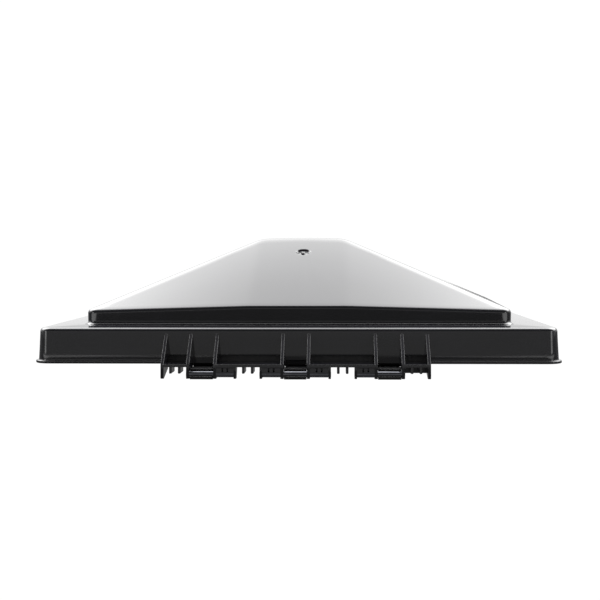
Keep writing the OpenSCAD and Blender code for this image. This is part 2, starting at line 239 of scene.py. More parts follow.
def face_outwards(mesh: bpy.types.Mesh, merge: float = 0.0) -> None:
    """Turns the faces of a closed mesh outwards.

    Args:
        mesh: Mesh to put right.
        merge: Distance in metres below which points become one first, or zero for none.
    """
    work = bmesh.new()
    work.from_mesh(mesh)
    if merge:
        bmesh.ops.remove_doubles(work, verts=work.verts, dist=merge)
        bmesh.ops.dissolve_degenerate(work, edges=work.edges, dist=merge)
    bmesh.ops.recalc_face_normals(work, faces=work.faces)
    work.to_mesh(mesh)
    work.free()


@dataclass
class Shape:
    """Corners and faces of one piece while it is being built."""

    points: list[tuple[float, float, float]] = field(default_factory=list)
    faces: list[tuple[int, ...]] = field(default_factory=list)

    def ring(self, points: list[tuple[float, float, float]]) -> list[int]:
        """Adds points and returns their numbers.

        Args:
            points: Points in millimetres.

        Returns:
            Their numbers, in the same order.
        """
        first = len(self.points)
        self.points += points
        return list(range(first, first + len(points)))

    def bridge(self, a: list[int], b: list[int], closed: bool = True) -> None:
        """Joins two rings of equal length with quads.

        Args:
            a: Numbers of the first ring's points.
            b: Numbers of the second ring's points.
            closed: Whether the last point joins the first.
        """
        for i in range(len(a) if closed else len(a) - 1):
            j = (i + 1) % len(a)
            corners = [a[i], a[j], b[j], b[i]]
            self.faces.append(tuple(dict.fromkeys(corners)))

    def prism(self, outline: Outline, start: float, end: float) -> None:
        """Adds an outline of distance towards the hinge and height, run along X.

        Args:
            outline: Distance towards the hinge and height of each corner.
            start: First end along X.
            end: Last end along X.
        """
        a = self.ring([(start, -u, z) for u, z in outline])
        b = self.ring([(end, -u, z) for u, z in outline])
        self.bridge(a, b)
        self.faces += [tuple(reversed(a)), tuple(b)]

    def brick(self, low: tuple[float, float, float], high: tuple[float, float, float]) -> None:
        """Adds a box between two opposite corners."""
        outline = [(-low[1], low[2]), (-high[1], low[2]), (-high[1], high[2]), (-low[1], high[2])]
        self.prism(outline, low[0], high[0])

    def lathe(
        self, profile: Outline, place: tuple[float, float, float], axis: str, steps: int = 48
    ) -> None:
        """Adds a turned solid.

        Args:
            profile: Radius and distance along the axis, starting and ending on the axis.
            place: Point that the distances start from.
            axis: "X", "-Y" or "Z".
            steps: Faces around the axis.
        """
        along = {"X": Vector((1, 0, 0)), "-Y": Vector((0, -1, 0)), "Z": Vector((0, 0, 1))}[axis]
        first = along.orthogonal().normalized()
        second = along.cross(first)
        rings: list[list[int]] = []
        for radius, far in profile:
            middle = Vector(place) + along * far
            count = 1 if radius == 0 else steps
            turns = [2 * math.pi * i / steps for i in range(count)]
            spots = [middle + radius * (first * math.cos(t) + second * math.sin(t)) for t in turns]
            rings.append(self.ring([tuple(s) for s in spots]))
        for a, b in zip(rings, rings[1:]):
            a, b = (a * steps if len(a) == 1 else a), (b * steps if len(b) == 1 else b)
            self.bridge(a, b)

    def mesh(self, name: str, origin: Vector, merge: float = 1e-7) -> bpy.types.Mesh:
        """Makes a Blender mesh with doubles merged and faces outwards.

        Args:
            name: Name of the mesh.
            origin: The lid frame's origin in the part's frame, in metres.
            merge: Distance in metres below which points become one.

        Returns:
            The mesh, smooth, in metres.
        """
        mesh = bpy.data.meshes.new(name)
        mesh.from_pydata([Vector(p) * MM + origin for p in self.points], [], self.faces)
        face_outwards(mesh, merge)
        mesh.polygons.foreach_set("use_smooth", [True] * len(mesh.polygons))
        return mesh


def new_object(name: str, mesh: bpy.types.Mesh) -> bpy.types.Object:
    """Puts a mesh in the scene as an object at the origin.

    Args:
        name: Name of the object.
        mesh: Its mesh.

    Returns:
        The new object.
    """
    piece = bpy.data.objects.new(name, mesh)
    bpy.context.scene.collection.objects.link(piece)
    return piece


def settle(piece: bpy.types.Object) -> bpy.types.Object:
    """Turns a piece and its modifiers into one plain mesh.

    Args:
        piece: Object with modifiers.

    Returns:
        The same object, with a plain mesh and no modifiers.
    """
    graph = bpy.context.evaluated_depsgraph_get()
    mesh = bpy.data.meshes.new_from_object(piece.evaluated_get(graph))
    piece.modifiers.clear()
    piece.data = mesh
    return piece


def run_tree(
    piece: bpy.types.Object,
    tree: bpy.types.NodeTree,
    keys: dict[str, str],
    values: dict[str, object],
) -> bpy.types.Object:
    """Runs a Geometry Nodes tree on a piece and keeps the result as a plain mesh.

    Args:
        piece: Object that the tree starts from.
        tree: The tree.
        keys: Identifier of each named input.
        values: Value of each named input.

    Returns:
        The same object.
    """
    rule = piece.modifiers.new(tree.name, "NODES")
    rule.node_group = tree
    for label, value in values.items():
        rule[keys[label]] = value
    return settle(piece)


def smooth_faces(mesh: bpy.types.Mesh, sharp: float) -> None:
    """Smooths a mesh except at edges sharper than an angle in degrees."""
    mesh.polygons.foreach_set("use_smooth", [True] * len(mesh.polygons))
    mesh.set_sharp_from_angle(angle=math.radians(sharp))


def round_edges(piece: bpy.types.Object, radius: float, steps: int = 2) -> bpy.types.Object:
    """Rounds every hard edge of a piece.

    Args:
        piece: Object whose mesh is smooth.
        radius: Width of the rounding in millimetres.
        steps: Faces across the rounding.

    Returns:
        The same object with a plain mesh.
    """
    edge = piece.modifiers.new("edge", "BEVEL")
    edge.width = radius * MM
    edge.segments = steps
    edge.limit_method = "ANGLE"
    edge.angle_limit = math.radians(35)
    edge.harden_normals = True
    return settle(piece)


def drop_object(piece: bpy.types.Object) -> None:
    """Removes a helper object that is no longer needed."""
    bpy.data.objects.remove(piece, do_unlink=True)


# ---------------------------------------------------------------- finishes


@dataclass(frozen=True)
class Finish:
    """Common part of every finish: a named material with one Principled shader."""

    name: str
    colour: str

    def start(self) -> tuple[bpy.types.Material, bpy.types.NodeTree, bpy.types.Node, Socket]:
        """Makes the material with its shader and its output.

        Returns:
            The material, its tree, its shader node and the Object coordinates socket.
        """
        material = bpy.data.materials.new(self.name)
        tree = empty_tree(material)
        shader = add_node(tree, "ShaderNodeBsdfPrincipled", {"Base Color": linear(self.colour)})
        add_node(tree, "ShaderNodeOutputMaterial", {"Surface": shader.outputs["BSDF"]})
        place = add_node(tree, "ShaderNodeTexCoord").outputs["Object"]
        return material, tree, shader, place

    def speckle(
        self, tree: bpy.types.NodeTree, place: Socket, size: float, low: float, high: float
    ) -> Socket:
        """Returns a noise between two values whose grains are size millimetres apart.

        Args:
            tree: Tree of the material.
            place: Coordinates that the noise reads.
            size: Distance between grains in millimetres.
            low: Lowest value.
            high: Highest value.

        Returns:
            The socket that gives the noise.
        """
        noise = add_node(
            tree, "ShaderNodeTexNoise", {"Vector": place, "Scale": 1 / (size * MM), "Detail": 3.0}
        )
        span = add_node(
            tree,
            "ShaderNodeMapRange",
            {0: noise.outputs["Fac"], 1: 0.3, 2: 0.7, 3: low, 4: high},
        )
        return span.outputs[0]

    def skin(
        self,
        tree: bpy.types.NodeTree,
        shader: bpy.types.Node,
        tone: tuple[Socket, str],
        relief: tuple[Socket, float],
        gloss: tuple[Socket, float, float] | None = None,
    ) -> None:
        """Gives the shader its two colours, its relief and its range of roughness.

        Args:
            tree: Tree of the material.
            shader: The Principled shader.
            tone: Amount from zero to one, and the colour that it mixes in.
            relief: Height from zero to one, and its depth in millimetres.
            gloss: Amount from zero to one, with the roughness at zero and at one.
        """
        tones = {"Factor": tone[0], 6: linear(self.colour), 7: linear(tone[1])}
        colour = add_node(tree, "ShaderNodeMix", tones, data_type="RGBA").outputs[2]
        heights = {"Height": relief[0], "Distance": relief[1] * MM, "Strength": 1.0}
        normal = add_node(tree, "ShaderNodeBump", heights).outputs["Normal"]
        parts = {"Base Color": colour, "Normal": normal}
        if gloss:
            amounts = {0: gloss[0], 3: gloss[1], 4: gloss[2]}
            parts["Roughness"] = add_node(tree, "ShaderNodeMapRange", amounts).outputs[0]
        for name, source in parts.items():
            tree.links.new(source, shader.inputs[name])


@dataclass(frozen=True)
class MouldedPolypropylene(Finish):
    """Injection-moulded black polypropylene from a polished tool.

    It has a clear gloss, a slow waviness from shrinkage and faint flow lines around its gate.
    """

    name: str = "moulded_black_polypropylene"
    colour: str = "#111114"
    worn: str = "#17171b"
    cloud_pitch: float = 60.0
    wave_pitch: float = 34.0
    wave_depth: float = 0.012
    grain_pitch: float = 0.9

    def make(self, gate: Vector) -> bpy.types.Material:
        """Builds the material.

        Args:
            gate: Place of the gate mark in the part's frame, in metres.

        Returns:
            The finished material.
        """
        material, tree, shader, place = self.start()
        # typical index of polypropylene, with the gloss of a polished mould
        shader.inputs["IOR"].default_value = 1.49
        cloud = self.speckle(tree, place, self.cloud_pitch, 0.0, 1.0)
        # flow lines fan out from the gate: a fine noise on the angle around it
        around = add_node(
            tree, "ShaderNodeMapping", {0: place, 1: -gate}, vector_type="POINT"
        ).outputs[0]
        split = add_node(tree, "ShaderNodeSeparateXYZ", {0: around})
        angle = add_node(
            tree,
            "ShaderNodeMath",
            {0: split.outputs[0], 1: split.outputs[1]},
            operation="ARCTAN2",
        ).outputs[0]
        fan = add_node(
            tree,
            "ShaderNodeTexNoise",
            {"W": angle, "Scale": 5.0, "Detail": 2.0},
            noise_dimensions="1D",
        ).outputs["Fac"]
        fine = self.speckle(tree, place, self.grain_pitch, 0.0, 0.012)
        gloss = add_node(
            tree, "ShaderNodeMapRange", {0: fan, 1: 0.3, 2: 0.7, 3: 0.045, 4: 0.07}
        ).outputs[0]
        rough = add_node(tree, "ShaderNodeMath", {0: gloss, 1: fine}, operation="ADD").outputs[0]
        tree.links.new(rough, shader.inputs["Roughness"])
        wave = add_node(
            tree,
            "ShaderNodeTexNoise",
            {"Vector": place, "Scale": 1 / (self.wave_pitch * MM), "Detail": 1.0},
        ).outputs["Fac"]
        self.skin(tree, shader, (cloud, self.worn), (wave, self.wave_depth))
        return material


@dataclass(frozen=True)
class BlackenedSteel(Finish):
    """Drawn steel rod, blackened and oiled: dark, with fine die lines along the rod."""

    name: str = "blackened_drawn_steel"
    colour: str = "#626368"

    def make(self) -> bpy.types.Material:
        """Builds the material.

        Returns:
            The finished material.
        """
        material, tree, shader, place = self.start()
        shader.inputs["Metallic"].default_value = 1.0
        # die lines run along X and lie about 0.15 mm apart, drawn at 0.3 mm to show
        lines = add_node(
            tree, "ShaderNodeMapping", {0: place, 3: (0.03, 1.0, 1.0)}, vector_type="POINT"
        ).outputs[0]
        drawn = self.speckle(tree, lines, 0.3, 0.0, 1.0)
        cloud = self.speckle(tree, place, 2.5, 0.0, 0.6)
        self.skin(tree, shader, (cloud, "#55565a"), (drawn, 0.01), (drawn, 0.06, 0.11))
        return material


@dataclass(frozen=True)
class ClosedCellFoam(Finish):
    """Die-cut closed-cell EPDM foam: soft black with open cells at the cut faces."""

    name: str = "closed_cell_foam"
    colour: str = "#1d1d1f"

    def make(self) -> bpy.types.Material:
        """Builds the material.

        Returns:
            The finished material.
        """
        material, tree, shader, place = self.start()
        shader.inputs["Roughness"].default_value = 0.92
        shader.inputs["Specular IOR Level"].default_value = 0.3
        # cells of 0.5 mm, drawn at 0.8 mm so that they show
        cells = add_node(
            tree, "ShaderNodeTexVoronoi", {"Vector": place, "Scale": 1 / (0.8 * MM)}
        ).outputs["Distance"]
        self.skin(tree, shader, (cells, "#3a3a3d"), (cells, 0.25))
        return material


@dataclass(frozen=True)
class PowderCoat(Finish):
    """Black powder coat on steel strip: a fine orange-peel skin."""

    name: str = "black_powder_coat"
    colour: str = "#141415"

    def make(self) -> bpy.types.Material:
        """Builds the material.

        Returns:
            The finished material.
        """
        material, tree, shader, place = self.start()
        peel = self.speckle(tree, place, 1.1, 0.0, 1.0)
        cloud = self.speckle(tree, place, 9.0, 0.0, 1.0)
        self.skin(tree, shader, (cloud, "#1d1d1e"), (peel, 0.05), (peel, 0.42, 0.55))
        return material


@dataclass(frozen=True)
class GlassFilledNylonWithPaintedShade(Finish):
    """Glass-filled black nylon: matt, with short fibres that show as a faint flecking. Its tone
    and gloss are set darker than the nylon's own as painted shade, so that the hooks stay as dark
    as the deep shade inside the hinge windows.
    """

    name: str = "glass_filled_nylon"
    # painted shade: darker than black nylon's own tone, so that the hooks match the shade inside
    # the hinge windows
    colour: str = "#0d0d0e"

    def make(self) -> bpy.types.Material:
        """Builds the material.

        Returns:
            The finished material.
        """
        material, tree, shader, place = self.start()
        shader.inputs["IOR"].default_value = 1.53
        # short fibres at the skin break up the gloss, and it is turned down further as painted
        # shade so that the hooks stay dark in the hinge windows
        shader.inputs["Specular IOR Level"].default_value = 0.25
        fleck = self.speckle(tree, place, 0.6, 0.0, 1.0)
        self.skin(tree, shader, (fleck, "#151517"), (fleck, 0.02), (fleck, 0.48, 0.6))
        return material


@dataclass(frozen=True)
class PlainMetal(Finish):
    """Rolled, plated or turned metal with a grain along one axis and a slight cloudiness."""

    cloud: str = "#8d8f92"
    rough: tuple[float, float] = (0.28, 0.42)
    stretch: tuple[float, float, float] = (1.0, 0.04, 1.0)
    grain: float = 0.5

    def make(self) -> bpy.types.Material:
        """Builds the material.

        Returns:
            The finished material.
        """
        material, tree, shader, place = self.start()
        shader.inputs["Metallic"].default_value = 1.0
        along = add_node(
            tree, "ShaderNodeMapping", {0: place, 3: self.stretch}, vector_type="POINT"
        ).outputs[0]
        lines = self.speckle(tree, along, self.grain, 0.0, 1.0)
        cloud = self.speckle(tree, place, 7.0, 0.0, 0.8)
        self.skin(tree, shader, (cloud, self.cloud), (lines, 0.012), (lines, *self.rough))
        return material


@dataclass(frozen=True)
class NaturalNylon(Finish):
    """Natural nylon: milky off-white, slightly translucent, satin from its mould."""

    name: str = "natural_nylon"
    colour: str = "#e2dfd3"

    def make(self) -> bpy.types.Material:
        """Builds the material.

        Returns:
            The finished material.
        """
        material, tree, shader, place = self.start()
        shader.inputs["IOR"].default_value = 1.53
        shader.inputs["Subsurface Weight"].default_value = 0.15
        shader.inputs["Subsurface Radius"].default_value = (0.002, 0.0018, 0.0014)
        cloud = self.speckle(tree, place, 5.0, 0.0, 1.0)
        fine = self.speckle(tree, place, 0.8, 0.0, 1.0)
        self.skin(tree, shader, (cloud, "#d6d2c2"), (fine, 0.01), (cloud, 0.34, 0.46))
        return material


# ---------------------------------------------------------------- the frame


@dataclass
class LidFrame:
    """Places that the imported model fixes, and the finishes by material slot."""

    origin: Vector
    nodes: dict[str, bpy.types.Object]
    finishes: dict[str, bpy.types.Material] = field(default_factory=dict)
    shoulder_z: float = 27.4
    gate_x: float = 1.4
    gate_y: float = -66.6
    gate_z: float = 83.6

    @classmethod
    def load(cls, nodes: dict[str, bpy.types.Object]) -> "LidFrame":
        """Finds the lid frame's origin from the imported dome, whose wall stands on the shoulder.

        Args:
            nodes: Loaded CAD nodes by name.

        Returns:
            The frame, without finishes yet.
        """
        low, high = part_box("lid_dome")
        origin = Vector(((low.x + high.x) / 2, (low.y + high.y) / 2, low.z - cls.shoulder_z * MM))
        return cls(origin, nodes)

    def mix_finishes(self) -> None:
        """Makes the material of each slot in the record."""
        gate = self.origin + Vector((self.gate_x, self.gate_y, self.gate_z)) * MM
        self.finishes = {
            "lid_plastic": MouldedPolypropylene().make(gate),
            "pin_steel": BlackenedSteel().make(),
            "seal_foam": ClosedCellFoam().make(),
            "rail_coating": PowderCoat().make(),
            "hook_plastic": GlassFilledNylonWithPaintedShade().make(),
            "rivet_aluminium": PlainMetal(
                "milled_aluminium", "#d3d4d6", "#b4b6b9", (0.30, 0.42), (1, 1, 1), 0.6
            ).make(),
            "track_zinc": PlainMetal(
                "rolled_zinc_plate", "#b4b8bc", "#989da3", (0.26, 0.42), (1.0, 0.03, 1.0), 0.5
            ).make(),
            "screw_zinc": PlainMetal(
                "plated_screw_steel", "#c4c6c9", "#a4a7ab", (0.22, 0.36), (1, 1, 1), 0.8
            ).make(),
            "shoe_nylon": NaturalNylon().make(),
            "bush_brass": PlainMetal(
                "turned_brass", "#d9b466", "#b8934a", (0.18, 0.30), (0.03, 1.0, 1.0), 0.4
            ).make(),
        }

    def hand_over(
        self, piece: bpy.types.Object, body: Body, slot: str, *stands_for: str
    ) -> bpy.types.Object:
        """Dresses a finished piece and ties it to its body.

        Args:
            piece: Object at the origin with a plain mesh.
            body: Body that it moves with.
            slot: Material slot of the record.
            stands_for: CAD nodes that it replaces.

        Returns:
            The piece.
        """
        piece.data.materials.clear()
        piece.data.materials.append(self.finishes[slot])
        for face in piece.data.polygons:
            face.material_index = 0
        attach(piece, body.value)
        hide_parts(*stands_for)
        log.info("%s: %d faces for %s", piece.name, len(piece.data.polygons), stands_for)
        return piece

    def keep(self, node: str, slot: str) -> None:
        """Gives a CAD node that stays its finish.

        Args:
            node: Name of the CAD node.
            slot: Material slot of the record.
        """
        data = self.nodes[node].data
        data.materials.clear()
        data.materials.append(self.finishes[slot])


# ---------------------------------------------------------------- repeated things


@dataclass
class CopyTree:
    """Geometry Nodes tree that sets copies of a part on points."""

    tree: bpy.types.NodeTree
    keys: dict[str, str]

    @classmethod
    def make(cls) -> "CopyTree":
        """Builds the tree: an instance on each point, turned by a seeded amount about an axis.

        Returns:
            The tree with the identifiers of its inputs.
        """
        tree, keys = open_tree(
            "copies_on_places",
            {
                "Part": "Object",
                "Finish": "Material",
                "Axis": "Vector",
                "Turn": "Float",
                "Seed": "Int",
            },
        )
        given = add_node(tree, "NodeGroupInput").outputs
        part = add_node(tree, "GeometryNodeObjectInfo", {"Object": given["Part"]})
        turn = add_node(
            tree,
            "FunctionNodeRandomValue",
            {2: 0.0, 3: given["Turn"], "Seed": given["Seed"]},
            data_type="FLOAT",
        )
        spin = add_node(
            tree,
            "FunctionNodeAxisAngleToRotation",
            {"Axis": given["Axis"], "Angle": turn.outputs[1]},
        )
        dots = add_node(tree, "GeometryNodeMeshToPoints", {"Mesh": given["Base"]})
        copies = add_node(
            tree,
            "GeometryNodeInstanceOnPoints",
            {
                "Points": dots.outputs[0],
                "Instance": part.outputs["Geometry"],
                "Rotation": spin.outputs[0],
            },
        )
        close_tree(tree, copies.outputs[0], given["Finish"])
        return cls(tree, keys)

    def lay(
        self,
        name: str,
        part: Shape,
        places: list[Vector],
        finish: bpy.types.Material,
        turn: float = 0.0,
        seed: int = 3,
    ) -> bpy.types.Object:
        """Sets a part on every place and returns the copies as one plain piece.

        Args:
            name: Name of the new piece.
            part: The part, around the lid frame's origin.
            places: Points in the part's frame, in metres.
            finish: Material of the copies.
            turn: Most that a copy is turned about Z, in radians.
            seed: Seed of the turns.

        Returns:
            The new object.
        """
        pattern = new_object(name + "_part", part.mesh(name + "_part", Vector()))
        dots = bpy.data.meshes.new(name)
        dots.from_pydata(places, [], [])
        piece = new_object(name, dots)
        values = {"Part": pattern, "Finish": finish, "Axis": (0, 0, 1), "Turn": turn, "Seed": seed}
        run_tree(piece, self.tree, self.keys, values)
        drop_object(pattern)
        return piece


@dataclass
class BladeTree:
    """Geometry Nodes tree that gives a flat outline its thickness and repeats it along X."""

    tree: bpy.types.NodeTree
    keys: dict[str, str]

    @classmethod
    def make(cls) -> "BladeTree":
        """Builds the tree: extrude, close, and set one blade on each place.

        Returns:
            The tree with the identifiers of its inputs.
        """
        tree, keys = open_tree(
            "blades_in_a_row", {"Places": "Object", "Thickness": "Float", "Finish": "Material"}
        )
        given = add_node(tree, "NodeGroupInput").outputs
        half = add_node(
            tree, "ShaderNodeMath", {0: given["Thickness"], 1: -0.5}, operation="MULTIPLY"
        ).outputs[0]
        back = add_node(tree, "ShaderNodeCombineXYZ", {0: half}).outputs[0]
        flat = add_node(
            tree, "GeometryNodeTransform", {"Geometry": given["Base"], "Translation": back}
        ).outputs[0]
        raised = add_node(
            tree,
            "GeometryNodeExtrudeMesh",
            {"Mesh": flat, "Offset Scale": given["Thickness"], "Individual": False},
            mode="FACES",
        ).outputs["Mesh"]
        under = add_node(tree, "GeometryNodeFlipFaces", {"Mesh": flat}).outputs[0]
        both = add_node(tree, "GeometryNodeJoinGeometry", {0: raised})
        tree.links.new(under, both.inputs[0])
        blade = add_node(
            tree, "GeometryNodeMergeByDistance", {"Geometry": both.outputs[0], "Distance": 1e-6}
        ).outputs[0]
        row = add_node(tree, "GeometryNodeObjectInfo", {"Object": given["Places"]})
        dots = add_node(tree, "GeometryNodeMeshToPoints", {"Mesh": row.outputs["Geometry"]})
        copies = add_node(
            tree,
            "GeometryNodeInstanceOnPoints",
            {"Points": dots.outputs[0], "Instance": blade},
        )
        close_tree(tree, copies.outputs[0], given["Finish"])
        return cls(tree, keys)

    def lay(
        self,
        name: str,
        outline: Outline,
        thickness: float,
        row: list[float],
        frame: LidFrame,
        rounding: float,
    ) -> bpy.types.Object:
        """Makes a row of equal blades.

        Args:
            name: Name of the new piece.
            outline: Distance towards the hinge and height of each corner, anticlockwise.
            thickness: Thickness of a blade in millimetres.
            row: Places of the blades along X in millimetres.
            frame: Frame that gives the lid's origin and its plastic.
            rounding: Width of the edge rounding in millimetres.

        Returns:
            The blades as one plain piece.
        """
        mesh = bpy.data.meshes.new(name)
        corners = [Vector((0, -u, z)) * MM + frame.origin for u, z in outline]
        mesh.from_pydata(corners, [], [tuple(range(len(corners)))])
        if mesh.polygons[0].normal.x < 0:
            mesh.flip_normals()
        piece = new_object(name, mesh)
        dots = bpy.data.meshes.new(name + "_row")
        dots.from_pydata([(x * MM, 0, 0) for x in row], [], [])
        places = new_object(name + "_row", dots)
        finish = frame.finishes["lid_plastic"]
        values = {"Places": places, "Thickness": thickness * MM, "Finish": finish}
        run_tree(piece, self.tree, self.keys, values)
        drop_object(places)
        piece.data.polygons.foreach_set("use_smooth", [True] * len(piece.data.polygons))
        return round_edges(piece, rounding)


def join_pieces(name: str, pieces: list[bpy.types.Object]) -> bpy.types.Object:
    """Makes one piece of several.

    Args:
        name: Name of the joined piece.
        pieces: Objects at the origin, whose meshes keep their edge normals.

    Returns:
        The joined object.
    """
    bpy.ops.object.select_all(action="DESELECT")
    for piece in pieces:
        piece.select_set(True)
    bpy.context.view_layer.objects.active = pieces[0]
    bpy.ops.object.join()
    joined = bpy.context.view_layer.objects.active
    joined.name = name
    joined.data.name = name
    return joined


# ---------------------------------------------------------------- dome


@dataclass
class Dome:
    """The pyramid dome: four sloping panels whose creases are softened, on a short wall."""

    frame: LidFrame
    wall_r: float = 166.8
    corner_r: float = 9.0
    wall: float = 2.5
    top_z: float = 95.5
    crown: float = 1.5
    plateau_r: float = 38.3
    slope: float = 0.41946
    corner_fall: float = 0.028
    ridge_soft: float = 10.0
    crease_soft: float = 6.0
    top_soft: float = 3.0
    edge_r: float = 2.0
    foot_r: float = 2.4
    gate_d: float = 13.0
    gate_moat: float = 4.8
    gate_wall: float = 0.45
    gate_nub: float = 0.15
    gate_depth: float = 1.9
    boss_d: float = 9.0
    boss_low: float = 75.34
    boss_at: tuple[float, float] = (16.0, 30.0)
    inner_edge_r: float = 1.0
    # how far a ring that keeps a flat face flat stands from the rounding beside it
    support: float = 0.3
    # distance from the middle and widest spacing of the net's lines, fine at the gate mark
    net: tuple[tuple[float, float], ...] = (
        (8.6, 0.5),
        (34, 3.3),
        (42.5, 1.2),
        (59.0, 3.3),
        (74.0, 0.52),
    )
    net_last: float = 3.2

    def roof_tree(self) -> tuple[bpy.types.NodeTree, dict[str, str], dict[str, float]]:
        """Builds the rule that lifts a flat net to the pyramid's height.

        Returns:
            The tree, its inputs' keys, and the value of each input in metres or as a ratio.
        """
        sizes = {
            "Top height": self.top_z * MM,
            "Crown": self.crown * MM,
            "Crown spread": 1 / (2 * (self.plateau_r * MM) ** 2),
            "Plateau": self.plateau_r * MM,
            "Slope": self.slope,
            "Corner fall": self.corner_fall,
            "Ridge softness": self.ridge_soft * MM,
            "Crease softness": self.crease_soft * MM,
            "Top softness": self.top_soft * MM,
        }
        kinds = {**dict.fromkeys(sizes, "Float"), "Finish": "Material"}
        tree, keys = open_tree("pyramid_roof", kinds)
        given = add_node(tree, "NodeGroupInput").outputs
        place = add_node(tree, "GeometryNodeInputPosition").outputs[0]
        x, y, _ = add_node(tree, "ShaderNodeSeparateXYZ", {0: place}).outputs
        lift = add_node(
            tree, "GeometryNodeInputNamedAttribute", {"Name": "lift"}, data_type="FLOAT"
        ).outputs[0]
        values = {"x": x, "y": y, "lift": lift, **{name: given[name] for name in sizes}}
        add_chain(
            tree,
            "ShaderNodeMath",
            "operation",
            values,
            [
                ("wide", "ABSOLUTE", "x"),
                ("deep", "ABSOLUTE", "y"),
                # the four panels fall with the larger of the two distances
                ("outer", "SMOOTH_MAX", "wide", "deep", "Ridge softness"),
                ("run", "SUBTRACT", "outer", "Plateau"),
                ("fall", "MULTIPLY", "run", "Slope"),
                # beside its middle strip each panel falls a little more
                ("inner", "SMOOTH_MIN", "wide", "deep", "Ridge softness"),
                ("past", "SUBTRACT", "inner", "Plateau"),
                ("past", "SMOOTH_MAX", "past", 0.0, "Crease softness"),
                ("corner", "MULTIPLY", "past", "Corner fall"),
                ("down", "ADD", "fall", "corner"),
                ("panels", "SUBTRACT", "Top height", "down"),
                # the top is a shallow crown
                ("across", "POWER", "wide", 2.0),
                ("along", "POWER", "deep", 2.0),
                ("square", "ADD", "across", "along"),
                ("share", "MULTIPLY", "square", "Crown spread"),
                ("bulge", "SUBTRACT", 1.0, "share"),
                ("rise", "MULTIPLY", "bulge", "Crown"),
                ("cap", "ADD", "Top height", "rise"),
                ("roof", "SMOOTH_MIN", "panels", "cap", "Top softness"),
                ("height", "MULTIPLY", "roof", "lift"),
            ],
        )
        offset = add_node(tree, "ShaderNodeCombineXYZ", {2: values["height"]}).outputs[0]
        raised = add_node(
            tree, "GeometryNodeSetPosition", {"Geometry": given["Base"], "Offset": offset}
        ).outputs[0]
        close_tree(tree, raised, given["Finish"])
        return tree, keys, sizes

    def gate_sink(self, x: float, y: float) -> float:
        """Returns how deep the gate mark is at a place on the front panel.

        Args:
            x: Distance to the right of the dome's middle.
            y: Distance from the dome's middle towards the free edge.

        Returns:
            Depth below the panel, in millimetres.
        """
        away = x - self.frame.gate_x
        far = math.hypot(away, (y - self.frame.gate_y) * math.hypot(1, self.slope))
        outside = min(1.0, max(0.0, (self.gate_d / 2 - far) / self.gate_wall))
        inside = self.gate_d / 2 - self.gate_moat
        nub = min(1.0, max(0.0, (far - inside) / self.gate_wall))
        return self.gate_depth * outside * (self.gate_nub + (1 - self.gate_nub) * nub)

    def sheet(self, shape: Shape, lifts: list[float], inset: float) -> list[int]:
        """Adds one face of the shell, from the middle of the roof to the foot of the wall.

        Args:
            shape: Shape that gets the sheet.
            lifts: Share of the roof's height that lifts each point; the sheet adds its own.
            inset: Distance in from the outer face.

        Returns:
            The ring of points at the foot.
        """
        core = self.wall_r - self.corner_r
        reach = self.corner_r - inset
        lines = spread([*self.net, (core, self.net_last)])
        drop = inset * math.hypot(1, self.slope)
        size = len(lines)
        grid = [
            shape.ring(
                [(x, y, -drop - (0 if inset else self.gate_sink(x, y))) for x in lines]
            )
            for y in lines
        ]
        lifts += [1.0] * (size * size)
        # each cell is split along the ridge it lies by, so that the ridges stay straight
        for j, (low, high) in enumerate(zip(grid, grid[1:])):
            for i in range(size - 1):
                a, b, c, d = low[i], low[i + 1], high[i + 1], high[i]
                if (lines[i] + lines[i + 1]) * (lines[j] + lines[j + 1]) > 0:
                    shape.faces += [(a, b, c), (a, c, d)]
                else:
                    shape.faces += [(a, b, d), (b, c, d)]
        sides = [
            [(grid[0][i], (lines[i], -core)) for i in range(size)],
            [(grid[i][-1], (core, lines[i])) for i in range(size)],
            [(grid[-1][i], (lines[i], core)) for i in reversed(range(size))],
            [(grid[i][0], (-core, lines[i])) for i in reversed(range(size))],
        ]
        stations: list[tuple[int, tuple[float, float], float]] = []
        for side, row in enumerate(sides):
            turn = -90 + 90 * side
            stations += [(number, spot, turn) for number, spot in row]
            number, spot = row[-1]
            stations += [(number, spot, turn + 10.0 * step) for step in range(1, 9)]
        edge = self.inner_edge_r if inset else self.edge_r
        levels: list[tuple[float, float, float]] = [(reach * 0.35, -drop, 1.0)]
        for angle in (0, 15, 30, 45, 60, 75, 90):
            t = math.radians(angle)
            levels.append(
                (reach - edge + edge * math.sin(t), -drop - edge * (1 - math.cos(t)), 1.0)
            )
        levels.append((reach, -drop - edge - self.support, 1.0))
        foot = self.frame.shoulder_z
        levels.append((reach, foot + self.foot_r + self.support, 0.0))
        if inset:
            levels.append((reach, foot, 0.0))
        else:
            for angle in (0, 22, 45, 68, 90):
                t = math.radians(angle)
                levels.append(
                    (
                        reach + self.foot_r * (1 - math.cos(t)),
                        foot + self.foot_r * (1 - math.sin(t)),
                        0.0,
                    )
                )
        last = [number for number, _, _ in stations]
        for out, height, lift in levels:
            spots = [
                (
                    x + out * math.cos(math.radians(turn)),
                    y + out * math.sin(math.radians(turn)),
                    height,
                )
                for _, (x, y), turn in stations
            ]
            ring = shape.ring(spots)
            lifts += [lift] * len(ring)
            shape.bridge(last, ring)
            last = ring
        return last

